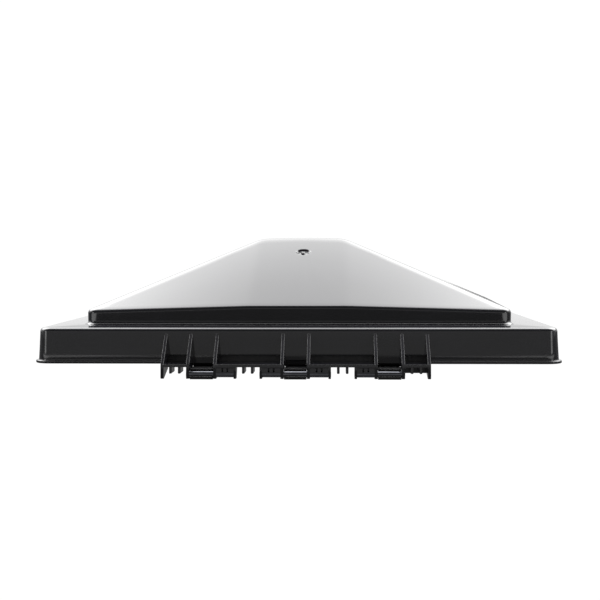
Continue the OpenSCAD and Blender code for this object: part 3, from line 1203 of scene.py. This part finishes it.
    def build(self) -> bpy.types.Object:
        """Builds the shell with its bosses and returns it.

        Returns:
            The dome as one piece.
        """
        shape, lifts = Shape(), []
        outside = self.sheet(shape, lifts, 0.0)
        inside = self.sheet(shape, lifts, self.wall)
        shape.bridge(outside, inside)
        net = bpy.data.meshes.new("dome")
        net.from_pydata([Vector(p) * MM for p in shape.points], [], shape.faces)
        store = net.attributes.new("lift", "FLOAT", "POINT")
        store.data.foreach_set("value", lifts)
        piece = new_object("dome", net)
        tree, keys, sizes = self.roof_tree()
        finish = self.frame.finishes["lid_plastic"]
        run_tree(piece, tree, keys, {**sizes, "Finish": finish})
        piece.data.attributes.remove(piece.data.attributes["lift"])
        face_outwards(piece.data)
        piece.data.transform(Matrix.Translation(self.frame.origin))
        smooth_faces(piece.data, 50)
        bosses = Shape()
        long = self.top_z - self.wall / 2 - self.boss_low
        profile = [(0, 0), (self.boss_d / 2, 0), (self.boss_d / 2, long), (0, long)]
        for x in (-1, 1):
            for y in (-1, 1):
                place = (x * self.boss_at[0], y * self.boss_at[1], self.boss_low)
                bosses.lathe(profile, place, "Z", 32)
        posts = new_object("bosses", bosses.mesh("bosses", self.frame.origin))
        posts.data.set_sharp_from_angle(angle=math.radians(50))
        return join_pieces("dome", [piece, posts])

    def dress(self) -> None:
        """Builds the dome and hands it over in place of its CAD node."""
        self.frame.hand_over(self.build(), Body.LID, "lid_plastic", "lid_dome")


# ---------------------------------------------------------------- rim


@dataclass
class Rim:
    """The stepped rim: lip, skirt and shoulder, with the row of hinge ribs on one side."""

    frame: LidFrame
    blades: BladeTree
    lid_r: float = 200.0
    lip_t: float = 2.2
    lip_out: float = 2.2
    lip_r: float = 0.6
    draft: float = 1.2
    corner_r: float = 11.0
    edge_r: float = 4.5
    top_fall: float = 0.7
    top_r: float = 3.0
    wall: float = 2.5
    cut_r: float = 0.35
    inner_r: float = 164.3
    inner_corner: float = 6.5
    reach: float = 17.2
    rib_top: float = 22.5
    rib_drop: float = 9.3
    rib_t: float = 2.3
    post_t: float = 1.8
    ribs: tuple[float, float, float] = (9.7, 59.3, 79.2)
    end_rib: float = 98.1
    posts: tuple[float, float] = (25.3, 44.4)
    tip_r: float = 1.5
    heel: float = 6.5
    heel_z: float = 4.0
    shelf_z: float = 1.5
    shelf_t: float = 2.1
    bay_z: float = 6.0
    window_z: float = 2.5
    block_h: float = 5.6
    block_deep: float = 12.0
    block_back: float = 0.6
    slot_w: float = 1.3
    slot_pitch: float = 3.7
    slot_deep: float = 4.0
    slot_land: float = 0.6
    fin_t: float = 2.0
    fin_h: float = 4.8
    fin_deep: float = 15.0
    fin_pitch: float = 6.5
    web_t: float = 1.5
    web_back: float = 13.7
    web_h: float = 5.7
    rounding: float = 0.25
    fin_rounding: float = 0.6
    block_rounding: float = 0.22
    front_draft: float = 0.09
    lip_fillet: float = 0.4
    skirt_rows: tuple[float, float, float] = (18.0, 13.0, 8.5)

    @property
    def skirt_r(self) -> float:
        """Distance from the middle to the foot of the skirt's outer face."""
        return self.lid_r - self.lip_out

    @property
    def front_r(self) -> float:
        """Distance from the middle to the front of the ribs."""
        return self.lid_r + self.reach

    def skirt_at(self, z: float) -> float:
        """Distance from the middle to the skirt's outer face at a height."""
        rise = self.frame.shoulder_z - self.edge_r - self.lip_t
        return self.skirt_r - self.draft * min(1.0, max(0.0, z - self.lip_t) / rise)

    def section(self, cut: float, lipped: bool) -> Outline:
        """Returns the skirt's section.

        Args:
            cut: Height of its lower edge.
            lipped: Whether the lip runs along it.

        Returns:
            Distance from the corner's middle and height of each point, from the inner end of the
            shoulder's top round the outside and back to the inner end of its underside.
        """
        core = self.skirt_r - self.corner_r
        top = self.frame.shoulder_z
        low, far = cut, self.skirt_at(cut) - core
        out = self.corner_r - self.draft
        turn = (out - self.edge_r, top - self.edge_r)
        crest = (out - self.top_r, top - self.top_fall - self.top_r)
        line = list(reversed(arc(crest, self.top_r, 0, 90, 9)))
        for z in self.skirt_rows:
            line.append((self.skirt_at(z) - core, max(z, low + self.cut_r)))
        if lipped:
            tip = self.corner_r + self.lip_out
            r = self.lip_r
            f = self.lip_fillet
            line.append((self.corner_r, self.lip_t + 1.0))
            line += arc((self.corner_r + f, self.lip_t + f), f, 180, 270, 2)
            line += reversed(arc((tip - r, self.lip_t - r), r, 0, 90, 3))
            line += reversed(arc((tip - r, r), r, -90, 0, 3))
        else:
            line.append((far, low + self.cut_r + 0.8))
            line += [(far, low + self.cut_r + 0.1)] * 3
            line += [(far, low + self.cut_r)] * 4
            turned = arc((far - self.cut_r, low + self.cut_r), self.cut_r, -90, 0, 3)
            line += reversed(turned)
        inside = self.corner_r - self.wall
        shift = self.cut_r
        line += [(inside + shift, low), (inside + 0.1, low + 0.1), (inside, low + shift)]
        line.append((inside, max(self.skirt_rows[-1], low + 1.0)))
        line += arc(turn, self.edge_r - self.wall, 0, 90, 6)
        return line

    def skirt(self) -> bpy.types.Object:
        """Builds the lip, the skirt and the shoulder as one closed sweep and returns it.

        Returns:
            The skirt.
        """
        core = self.skirt_r - self.corner_r
        plain = self.section(0.0, True)
        bare = self.section(0.0, False)
        bay = self.section(self.bay_z, False)
        window = self.section(self.window_z, False)
        inner, mid, outer = self.ribs
        half = [
            (inner, window),
            (inner, bay),
            (mid, bay),
            (mid, bare),
            (outer, bare),
            (outer, bay),
            (self.end_rib, bay),
            (self.end_rib, plain),
            (core, plain),
        ]
        changes = [(-x, line) for x, line in reversed(half)] + half
        shape = Shape()
        rings: list[list[int]] = []
        hub = self.inner_r - self.inner_corner
        for side in Side:
            turn = Matrix.Rotation(side.value * math.pi / 2, 3, "Z")
            plan = changes if side is Side.HINGE else [(-core, plain), (0.0, plain), (core, plain)]
            stops = [(x, 0.0, line) for x, line in plan]
            stops += [(core, 90 * i / 12, plain) for i in range(1, 12)]
            for x, swing, line in stops:
                t = math.radians(swing)
                way = Vector((math.sin(t), -math.cos(t), 0))
                base = Vector((x, -core, 0))
                inner_base = Vector((x * hub / core, -hub, 0))
                high = self.frame.shoulder_z
                spots = [inner_base + way * self.inner_corner + Vector((0, 0, high))]
                spots += [base + way * out + Vector((0, 0, z)) for out, z in line]
                low = high - self.wall
                spots.append(inner_base + way * self.inner_corner + Vector((0, 0, low)))
                rings.append(shape.ring([tuple(turn @ spot) for spot in spots]))
        for a, b in zip(rings, rings[1:] + rings[:1]):
            shape.bridge(a, b)
        mesh = shape.mesh("skirt", self.frame.origin)
        mesh.set_sharp_from_angle(angle=math.radians(38))
        return new_object("skirt", mesh)

    def rib_outline(self, heel: float) -> Outline:
        """Returns the outline of a rib whose level underside is heel long."""
        front = self.front_r
        return [
            (self.skirt_at(0) - self.wall / 2, -self.heel_z),
            (front - heel, -self.rib_drop),
            *arc((front - self.tip_r, self.tip_r - self.rib_drop), self.tip_r, -90, 0, 5),
            (front - self.front_draft * self.rib_drop, self.shelf_z),
            (self.skirt_at(self.rib_top), self.rib_top),
            (self.skirt_at(self.rib_top) - self.wall / 2, self.rib_top),
        ]

    def post_outline(self) -> Outline:
        """Returns the outline of a post."""
        front = self.front_r
        return [
            (front - self.block_deep, -self.shelf_t / 2),
            (front - self.heel, -self.rib_drop),
            *arc((front - self.tip_r, self.tip_r - self.rib_drop), self.tip_r, -90, 0, 5),
            (front - self.front_draft * self.rib_drop, 0.0),
        ]

    def fin_outline(self) -> Outline:
        """Returns the outline of a fin, seen from the side.

        Returns:
            Distance towards the hinge and height of each corner.
        """
        low = self.shelf_z - self.shelf_t - self.fin_h
        back = self.front_r - self.fin_deep
        high = low + self.fin_h + 1
        front = self.front_r - self.front_draft * self.fin_h
        return [(back, low), (self.front_r, low), (front, high), (back, high)]

    def blocks(self) -> bpy.types.Object:
        """Builds the shelves, the slotted blocks and the small web and returns them.

        Returns:
            The blocks as one piece.
        """
        shape = Shape()

        def slab(x: tuple[float, float], r: tuple[float, float], z: tuple[float, float]) -> None:
            """Adds a bar whose front leans back as it rises.

            Args:
                x: Ends along X.
                r: Distance of its front and of its back from the middle.
                z: Its lower and its upper face.
            """
            lean = self.front_draft * (z[1] - z[0])
            outline = [(r[1], z[0]), (r[0], z[0]), (r[0] - lean, z[1]), (r[1], z[1])]
            shape.prism(outline, *sorted(x))

        shelf_low = self.shelf_z - self.shelf_t
        low = shelf_low - self.block_h
        front = self.front_r - self.block_back
        slot_back = self.front_r - self.slot_deep
        roof = shelf_low - self.slot_land
        for sign in (-1, 1):
            for start, end in ((self.ribs[0], self.ribs[1]), (self.ribs[2], self.end_rib)):
                a, b = sorted((sign * start, sign * end))
                back = self.skirt_r - self.wall / 2
                slab((a, b), (self.front_r, back), (shelf_low, self.shelf_z))
            pairs = (
                (self.ribs[0], self.rib_t, self.posts[0], self.post_t),
                (self.posts[1], self.post_t, self.ribs[1], self.rib_t),
            )
            for start, start_t, end, end_t in pairs:
                middle = (start + start_t / 2 + end - end_t / 2) / 2
                a, b = sorted((sign * start, sign * end))
                c = sign * middle
                shape.brick(
                    (a, -slot_back, low), (b, -(self.front_r - self.block_deep), shelf_low + 0.5)
                )
                edges = [a]
                for s in (-1, 1):
                    edges += [
                        c + s * self.slot_pitch / 2 - self.slot_w / 2,
                        c + s * self.slot_pitch / 2 + self.slot_w / 2,
                    ]
                edges.append(b)
                for left, right in zip(edges[::2], edges[1::2]):
                    slab((left, right), (front, slot_back - 0.8), (low, roof))
                slab((a, b), (front, slot_back - 0.8), (roof - 0.05, shelf_low + 0.5))
        web_y = -(self.front_r - self.web_back)
        shape.brick(
            (self.ribs[2], web_y, shelf_low - self.web_h),
            (self.end_rib, web_y + self.web_t, shelf_low + self.shelf_t / 2),
        )
        piece = new_object("blocks", shape.mesh("blocks", self.frame.origin))
        return round_edges(piece, self.block_rounding)

    def build(self) -> bpy.types.Object:
        """Builds the whole rim and returns it.

        Returns:
            The rim as one piece.
        """
        middles = (sum(self.posts) / 2, (self.ribs[2] + self.end_rib) / 2)
        fins = tuple(x + side * self.fin_pitch / 2 for x in middles for side in (-1, 1))
        rib, end = self.rib_outline(self.heel), self.rib_outline(2 * self.tip_r)
        rows = (
            ("ribs", rib, self.rib_t, self.ribs, self.rounding),
            ("end_ribs", end, self.rib_t, (self.end_rib,), self.rounding),
            ("posts", self.post_outline(), self.post_t, self.posts, self.rounding),
            ("fins", self.fin_outline(), self.fin_t, fins, self.fin_rounding),
        )
        parts = [self.skirt()]
        for name, outline, thickness, places, rounding in rows:
            row = [side * x for x in places for side in (-1, 1)]
            parts.append(self.blades.lay(name, outline, thickness, row, self.frame, rounding))
        parts.append(self.blocks())
        return join_pieces("rim", parts)

    def dress(self) -> None:
        """Builds the rim and hands it over in place of its CAD node."""
        self.frame.hand_over(self.build(), Body.LID, "lid_plastic", "lid_rim")


# ---------------------------------------------------------------- hinge


@dataclass
class HingePins:
    """Three steel rods that the ribs grip."""

    frame: LidFrame
    rod_d: float = 4.76
    chamfer: float = 0.5
    proud: float = 0.12

    def build(self, side: str) -> bpy.types.Object:
        """Builds one rod in the place of its CAD node and returns it.

        Args:
            side: Left, middle or right.

        Returns:
            The rod.
        """
        low, high = (corner - self.frame.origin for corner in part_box(f"hinge_pin_{side}"))
        start = (low / MM).x - self.proud
        long = (high - low).x / MM + 2 * self.proud
        r, c = self.rod_d / 2, self.chamfer
        profile = [(0, 0), (r - c, 0), (r - c * 0.3, c * 0.3), (r, c), (r, long - c)]
        profile += [(r - c * 0.3, long - c * 0.3), (r - c, long), (0, long)]
        shape = Shape()
        middle = (low + high) / 2 / MM
        shape.lathe(profile, (start, middle.y, middle.z), "X", 64)
        mesh = shape.mesh(f"pin_{side}", self.frame.origin)
        mesh.set_sharp_from_angle(angle=math.radians(40))
        return new_object(f"pin_{side}", mesh)

    def dress(self) -> None:
        """Builds the three rods and hands them over."""
        for side in ("left", "middle", "right"):
            self.frame.hand_over(self.build(side), Body.LID, "pin_steel", f"hinge_pin_{side}")


@dataclass
class HingeHardware:
    """The screwed rail, its three open hooks and their rivets."""

    frame: LidFrame
    copies: CopyTree
    pin_r: float = 214.5
    pin_z: float = -5.9
    hole_r: float = 2.43
    hook_t: float = 1.5
    leg_r: float = 191.5
    leg_z: float = 12.5
    mouth: tuple[float, float] = (-25.0, 85.0)
    rivet_z: float = 8.0
    rivet_pitch: float = 9.0
    rivet_r: float = 2.7
    rivet_h: float = 1.1
    rivet_shank_r: float = 1.6
    rivet_tail: float = 1.4
    hook_places: tuple[float, float, float] = (-69.25, 0.0, 69.25)

    def hook_outline(self) -> Outline:
        """Returns a hook's outline: leg, strap and open ring in one line.

        Returns:
            Distance towards the hinge and height of each corner.
        """
        inner, outer = self.hole_r, self.hole_r + self.hook_t
        low, high = self.mouth
        touch = 180 - math.degrees(math.asin(inner / outer))
        centre = (self.pin_r, self.pin_z)
        strap = self.pin_z + inner
        line = [(self.leg_r, self.leg_z), (self.leg_r, strap)]
        line += arc(centre, outer, touch, 360 + low, 20)
        line += reversed(arc(centre, inner, high, 360 + low, 24))
        line += arc(centre, outer, high, 90, 1)
        line += [
            (self.leg_r + 2 * self.hook_t, strap + self.hook_t),
            (self.leg_r + 1.3 * self.hook_t, strap + 1.3 * self.hook_t),
            (self.leg_r + self.hook_t, strap + 2 * self.hook_t),
            (self.leg_r + self.hook_t, self.leg_z),
        ]
        return line

    def build_hook(self, side: str) -> bpy.types.Object:
        """Builds one hook as wide as its CAD node and returns it.

        Args:
            side: Left, middle or right.

        Returns:
            The hook.
        """
        low, high = (corner - self.frame.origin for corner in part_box(f"hook_{side}"))
        shape = Shape()
        shape.prism(self.hook_outline(), low.x / MM, high.x / MM)
        piece = new_object(f"hook_piece_{side}", shape.mesh(f"hook_{side}", self.frame.origin))
        return round_edges(piece, 0.25)

    def build_rivets(self) -> bpy.types.Object:
        """Builds the six rivets and returns them.

        Returns:
            The rivets as one piece.
        """
        part = Shape()
        r, h = self.rivet_r, self.rivet_h
        dome = [
            (r * math.cos(math.radians(a)), self.hook_t + h * math.sin(math.radians(a)))
            for a in (0, 18, 36, 54, 72)
        ]
        shank, tail = self.rivet_shank_r, -self.rivet_tail
        profile = [(0, tail), (shank, tail), (shank, self.hook_t), *dome, (0, self.hook_t + h)]
        part.lathe(profile, (0, 0, 0), "-Y", 28)
        back = self.frame.origin + Vector((0, -self.leg_r, self.rivet_z)) * MM
        places = [
            back + Vector((x + s * self.rivet_pitch / 2, 0, 0)) * MM
            for x in self.hook_places
            for s in (-1, 1)
        ]
        finish = self.frame.finishes["rivet_aluminium"]
        piece = self.copies.lay("rivets", part, places, finish)
        smooth_faces(piece.data, 40)
        return piece

    def dress(self) -> None:
        """Builds the hooks and rivets, hands them over and finishes the rail."""
        for side in ("left", "middle", "right"):
            self.frame.hand_over(self.build_hook(side), Body.RAIL, "hook_plastic", f"hook_{side}")
        self.frame.hand_over(self.build_rivets(), Body.RAIL, "rivet_aluminium", "hook_rivets")
        self.frame.keep("hinge_rail", "rail_coating")


# ---------------------------------------------------------------- seal


@dataclass
class FoamSeal:
    """Four foam strips under the shoulder, with rounded edges."""

    frame: LidFrame
    rounding: float = 0.9

    def build(self, side: str) -> bpy.types.Object:
        """Builds one strip in the space of its CAD node and returns it.

        Args:
            side: Front, rear, left or right.

        Returns:
            The strip.
        """
        low, high = (corner - self.frame.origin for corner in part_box(f"seal_{side}"))
        shape = Shape()
        shape.brick(tuple(low / MM), tuple(high / MM))
        piece = new_object(f"foam_{side}", shape.mesh(f"foam_{side}", self.frame.origin))
        return round_edges(piece, self.rounding, 3)

    def dress(self) -> None:
        """Builds the strips and hands them over."""
        for side in ("front", "rear", "left", "right"):
            strip = self.build(side)
            self.frame.hand_over(strip, Body.LID, "seal_foam", f"seal_{side}")


# ---------------------------------------------------------------- lift track


@dataclass
class LiftTrack:
    """The rolled channel under the dome, its screws, its end stops and the shoe inside it."""

    frame: LidFrame
    copies: CopyTree
    length: float = 156.0
    sheet: float = 1.2
    flange_w: float = 44.0
    channel_w: float = 18.0
    throat_w: float = 9.0
    top: float = 74.14
    low: float = 64.34
    bend_r: float = 0.9
    screws_at: tuple[float, float] = (16.0, 30.0)
    screw_r: float = 3.8
    screw_h: float = 2.2
    shank_r: float = 1.75
    shank: float = 6.0
    stop_t: float = 1.5

    def section(self) -> Outline:
        """Returns half the track's section, as distance from the middle and height.

        Returns:
            The points from the middle of the top round to the middle of its underside.
        """
        half, out, t = self.channel_w / 2, self.channel_w / 2 + self.sheet, self.sheet
        b = self.bend_r
        low = self.low - t
        return [
            (0.0, self.top + t),
            (self.flange_w / 2, self.top + t),
            (self.flange_w / 2, self.top),
            *arc((out + b, self.top - b), b, 90, 180, 4),
            *reversed(arc((out - b, low + b), b, -90, 0, 4)),
            (self.throat_w / 2, low),
            (self.throat_w / 2, self.low),
            (half, self.low),
            (half, self.top),
            (0.0, self.top),
        ]

    def build_track(self) -> bpy.types.Object:
        """Builds the channel with rolled corners and returns it.

        Returns:
            The channel.
        """
        right = self.section()
        outline = right + [(-x, z) for x, z in reversed(right[1:-1])]
        shape = Shape()
        a = shape.ring([(x, -self.length / 2, z) for x, z in outline])
        b = shape.ring([(x, self.length / 2, z) for x, z in outline])
        shape.bridge(a, b)
        half = len(right)
        left = [0] + list(range(len(outline) - 1, half - 1, -1)) + [half - 1]
        for ring in (a, b):
            shape.faces.append(tuple(ring[i] for i in range(half)))
            shape.faces.append(tuple(ring[i] for i in left))
        mesh = shape.mesh("track", self.frame.origin)
        mesh.set_sharp_from_angle(angle=math.radians(40))
        return new_object("track", mesh)

    def build_screws(self) -> bpy.types.Object:
        """Builds the four pan-head screws, each left at its own turn, and returns them.

        Returns:
            The screws as one piece.
        """
        part = Shape()
        r, h = self.screw_r, self.screw_h
        recess = [(0, -1.5), (0.9, -1.2), (1.3, -h)]
        head = [(r * 0.62, -h), (r * 0.86, -h * 0.86), (r, -h * 0.4), (r, 0)]
        shank = [(self.shank_r, 0), (self.shank_r, self.shank), (0, self.shank)]
        part.lathe(recess + head + shank, (0, 0, 0), "Z", 32)
        reach, deep = self.screws_at
        places = [
            self.frame.origin + Vector((x * reach, y * deep, self.top)) * MM
            for x in (-1, 1)
            for y in (-1, 1)
        ]
        finish = self.frame.finishes["screw_zinc"]
        piece = self.copies.lay("screws", part, places, finish, turn=math.pi / 2, seed=11)
        smooth_faces(piece.data, 35)
        return piece

    def build_stop(self, end: str) -> bpy.types.Object:
        """Builds one end stop in the space of its CAD node and returns it.

        Args:
            end: Front or rear.

        Returns:
            The stop.
        """
        low, high = (corner - self.frame.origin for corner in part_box(f"track_stop_{end}"))
        low, high = low / MM, high / MM
        flange = self.stop_t
        shape = Shape()
        if end == "rear":
            shape.brick(tuple(low), (high.x, low.y + flange, high.z))
            plug = (low.y + flange / 2, high.y)
        else:
            shape.brick((low.x, high.y - flange, low.z), tuple(high))
            plug = (low.y, high.y - flange / 2)
        shape.brick(
            (-self.channel_w / 2, plug[0], self.low), (self.channel_w / 2, plug[1], self.top)
        )
        piece = new_object(f"stop_{end}", shape.mesh(f"stop_{end}", self.frame.origin))
        return round_edges(piece, 0.35)

    def dress(self) -> None:
        """Builds the track's pieces, hands them over and finishes the shoe and its bush."""
        hand = self.frame.hand_over
        hand(self.build_track(), Body.LID, "track_zinc", "lift_track")
        hand(self.build_screws(), Body.LID, "screw_zinc", "track_screws")
        for end in ("front", "rear"):
            hand(self.build_stop(end), Body.LID, "hook_plastic", f"track_stop_{end}")
        self.frame.keep("lift_shoe", "shoe_nylon")
        self.frame.keep("shoe_bush", "bush_brass")


# ---------------------------------------------------------------- studio


@dataclass
class Studio:
    """Pale floor, soft light and the camera."""

    frame: LidFrame
    floor_size: float = 12.0
    white: float = 1.04
    table_dim: float = 0.22
    table_bright: float = 2.6
    full: float = 10.0
    flank_shift: float = 0.037
    flank_gain: float = 6.7
    flank_most: float = 0.6
    box_level: float = 0.3
    # brightness by the height of the direction, from straight down (-1) to straight up (1)
    front_light: tuple[tuple[float, float], ...] = (
        (-1, 0.5), (0.0, 0.5), (0.06, 0.56), (0.10, 0.5), (0.148, 1.0), (0.22, 0.5),
        (0.40, 0.16), (0.90, 0.16), (0.99, 0.4), (1.0, 0.9),
    )
    back_light: tuple[tuple[float, float], ...] = (
        (-1, 1.1), (0.2, 1.1), (0.5, 3.5), (0.69, 4.7), (0.715, 4.0), (0.735, 3.75),
        (0.755, 3.8), (0.8, 4.0), (0.97, 5.5), (0.99, 8.0),
    )
    camera_at: tuple[float, float, float] = (29.973, -945.842, 84.28)
    yaw: float = 0.036
    pitch: float = -0.0486
    roll: float = -0.0026
    lens: float = 60.06

    def set_camera(self) -> None:
        """Sets the camera that the main view uses."""
        data = bpy.data.cameras.new("camera")
        data.lens = self.lens
        data.sensor_width = 36.0
        data.clip_start = 0.01
        camera = bpy.data.objects.new("camera", data)
        bpy.context.scene.collection.objects.link(camera)
        forward = Vector(
            (
                -math.sin(self.yaw) * math.cos(self.pitch),
                math.cos(self.yaw) * math.cos(self.pitch),
                math.sin(self.pitch),
            )
        )
        level = Vector((math.cos(self.yaw), math.sin(self.yaw), 0))
        above = level.cross(forward)
        right = level * math.cos(self.roll) + above * math.sin(self.roll)
        up = above * math.cos(self.roll) - level * math.sin(self.roll)
        turn = Matrix((right, up, -forward)).transposed()
        place = self.frame.origin + Vector(self.camera_at) * MM
        camera.matrix_world = Matrix.Translation(place) @ turn.to_4x4()
        bpy.context.scene.camera = camera

    def lay_floor(self, height: float) -> None:
        """Lays a pale floor that glows softly, as a light table does.

        Args:
            height: Height of the floor in metres.
        """
        half = self.floor_size / 2
        mesh = bpy.data.meshes.new("floor")
        corners = [(-half, -half), (half, -half), (half, half), (-half, half)]
        mesh.from_pydata([(x, y, height) for x, y in corners], [], [(0, 1, 2, 3)])
        floor = new_object("floor", mesh)
        material = bpy.data.materials.new("light_table")
        tree = empty_tree(material)
        # the table is dim in front of the lid and bright where a soft box stands at each side
        place = add_node(tree, "ShaderNodeTexCoord").outputs["Object"]
        x, y, _ = add_node(tree, "ShaderNodeSeparateXYZ", {0: place}).outputs
        spots = {"x": x, "y": y}
        add_chain(tree, "ShaderNodeMath", "operation", spots, [("wide", "ABSOLUTE", "x")])
        add_chain(
            tree,
            "ShaderNodeMapRange",
            "interpolation_type",
            spots,
            [
                ("near", "LINEAR", "wide", 0.42, 0.5, 0.0, 1.0),
                ("far", "LINEAR", "wide", 0.85, 0.95, 1.0, 0.0),
                ("ahead", "LINEAR", "y", -0.2, -0.1, 1.0, 0.0),
            ],
        )
        steps = [("card", "MULTIPLY", "near", "far"), ("card", "MULTIPLY", "card", "ahead")]
        add_chain(tree, "ShaderNodeMath", "operation", spots, steps)
        dull = add_node(
            tree, "ShaderNodeMapRange", {0: spots["card"], 3: self.table_dim, 4: self.table_bright}
        ).outputs[0]
        seen = add_node(tree, "ShaderNodeLightPath").outputs["Is Camera Ray"]
        glow = add_node(tree, "ShaderNodeMapRange", {0: seen, 3: dull, 4: self.white}).outputs[0]
        light = add_node(tree, "ShaderNodeEmission", {"Strength": glow})
        add_node(tree, "ShaderNodeOutputMaterial", {"Surface": light.outputs[0]})
        mesh.materials.append(material)
        floor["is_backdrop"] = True

    def light(self) -> None:
        """Sets the soft room light: bright above and behind, dim in front."""
        world = bpy.data.worlds.new("studio")
        bpy.context.scene.world = world
        tree = empty_tree(world)
        way = add_node(tree, "ShaderNodeTexCoord").outputs["Generated"]
        x, y, z = add_node(tree, "ShaderNodeSeparateXYZ", {0: way}).outputs
        sky = {"x": x, "y": y, "z": z}
        add_chain(tree, "ShaderNodeMath", "operation", sky, [("wide", "ABSOLUTE", "x")])
        for name, stops in (("front", self.front_light), ("back", self.back_light)):
            share = add_node(tree, "ShaderNodeMapRange", {0: z, 1: -1.0, 2: 1.0}).outputs[0]
            ramp = add_node(tree, "ShaderNodeValToRGB", {"Fac": share})
            marks = ramp.color_ramp.elements
            while len(marks) < len(stops):
                marks.new(0.5)
            for mark, (height, level) in zip(marks, stops):
                mark.position = (height + 1) / 2
                mark.color = (level / self.full, level / self.full, level / self.full, 1)
            sky[name] = ramp.outputs["Color"]
        add_chain(
            tree,
            "ShaderNodeMapRange",
            "interpolation_type",
            sky,
            [
                ("high", "SMOOTHSTEP", "z", 0.3, 0.55, 0.0, 1.0),
                ("steep", "SMOOTHSTEP", "z", 0.82, 0.93, 0.0, 1.0),
                ("inner", "SMOOTHSTEP", "wide", 0.72, 0.77, 0.0, 1.0),
                ("outer", "SMOOTHSTEP", "wide", 0.86, 0.9, 0.0, 1.0),
                ("tall", "SMOOTHSTEP", "z", 0.3, 0.5, 0.0, 1.0),
                ("behind", "SMOOTHSTEP", "y", -0.09, 0.06, 0.0, 1.0),
            ],
        )
        add_chain(
            tree,
            "ShaderNodeMath",
            "operation",
            sky,
            [
                # the room behind grows brighter towards both sides of the lid's middle
                ("aside", "ADD", "x", self.flank_shift),
                ("aside", "POWER", "aside", 2.0),
                ("flank", "MULTIPLY", "aside", self.flank_gain),
                ("flank", "MINIMUM", "flank", self.flank_most),
                ("flank", "MULTIPLY", "flank", "high"),
                ("below", "SUBTRACT", 1.0, "steep"),
                ("flank", "MULTIPLY", "flank", "below"),
                ("far", "ADD", "back", "flank"),
                # two upright soft boxes stand in front, one to each side
                ("edge", "SUBTRACT", 1.0, "outer"),
                ("box", "MULTIPLY", "inner", "edge"),
                ("low", "SUBTRACT", 1.0, "tall"),
                ("box", "MULTIPLY", "box", "low"),
                ("box", "MULTIPLY", "box", self.box_level),
                ("near", "ADD", "front", "box"),
                ("ahead", "SUBTRACT", 1.0, "behind"),
                ("near", "MULTIPLY", "near", "ahead"),
                ("far", "MULTIPLY", "far", "behind"),
                ("room", "ADD", "far", "near"),
                ("room", "MULTIPLY", "room", self.full),
            ],
        )
        seen = add_node(tree, "ShaderNodeLightPath").outputs["Is Camera Ray"]
        level = add_node(
            tree,
            "ShaderNodeMix",
            {"Factor": seen, 2: sky["room"], 3: self.white},
            data_type="FLOAT",
        ).outputs[0]
        shade = add_node(
            tree, "ShaderNodeBackground", {"Color": (1, 1, 1, 1), "Strength": level}
        )
        add_node(tree, "ShaderNodeOutputWorld", {"Surface": shade.outputs[0]})

    def build(self) -> None:
        """Sets the floor under the lowest point, the light and the camera."""
        self.set_camera()
        self.lay_floor(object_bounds()[0][2])
        self.light()
        bpy.context.scene.view_settings.view_transform = "Standard"


def main() -> None:
    """Builds every sub-assembly around the frame."""
    logging.basicConfig(level=logging.INFO, format="%(name)s: %(message)s")
    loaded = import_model()
    frame = LidFrame.load(loaded["nodes"])
    frame.mix_finishes()
    Studio(frame).build()
    copies, blades = CopyTree.make(), BladeTree.make()
    Dome(frame).dress()
    Rim(frame, blades).dress()
    HingePins(frame).dress()
    HingeHardware(frame, copies).dress()
    FoamSeal(frame).dress()
    LiftTrack(frame, copies).dress()


if __name__ == "__main__":
    main()
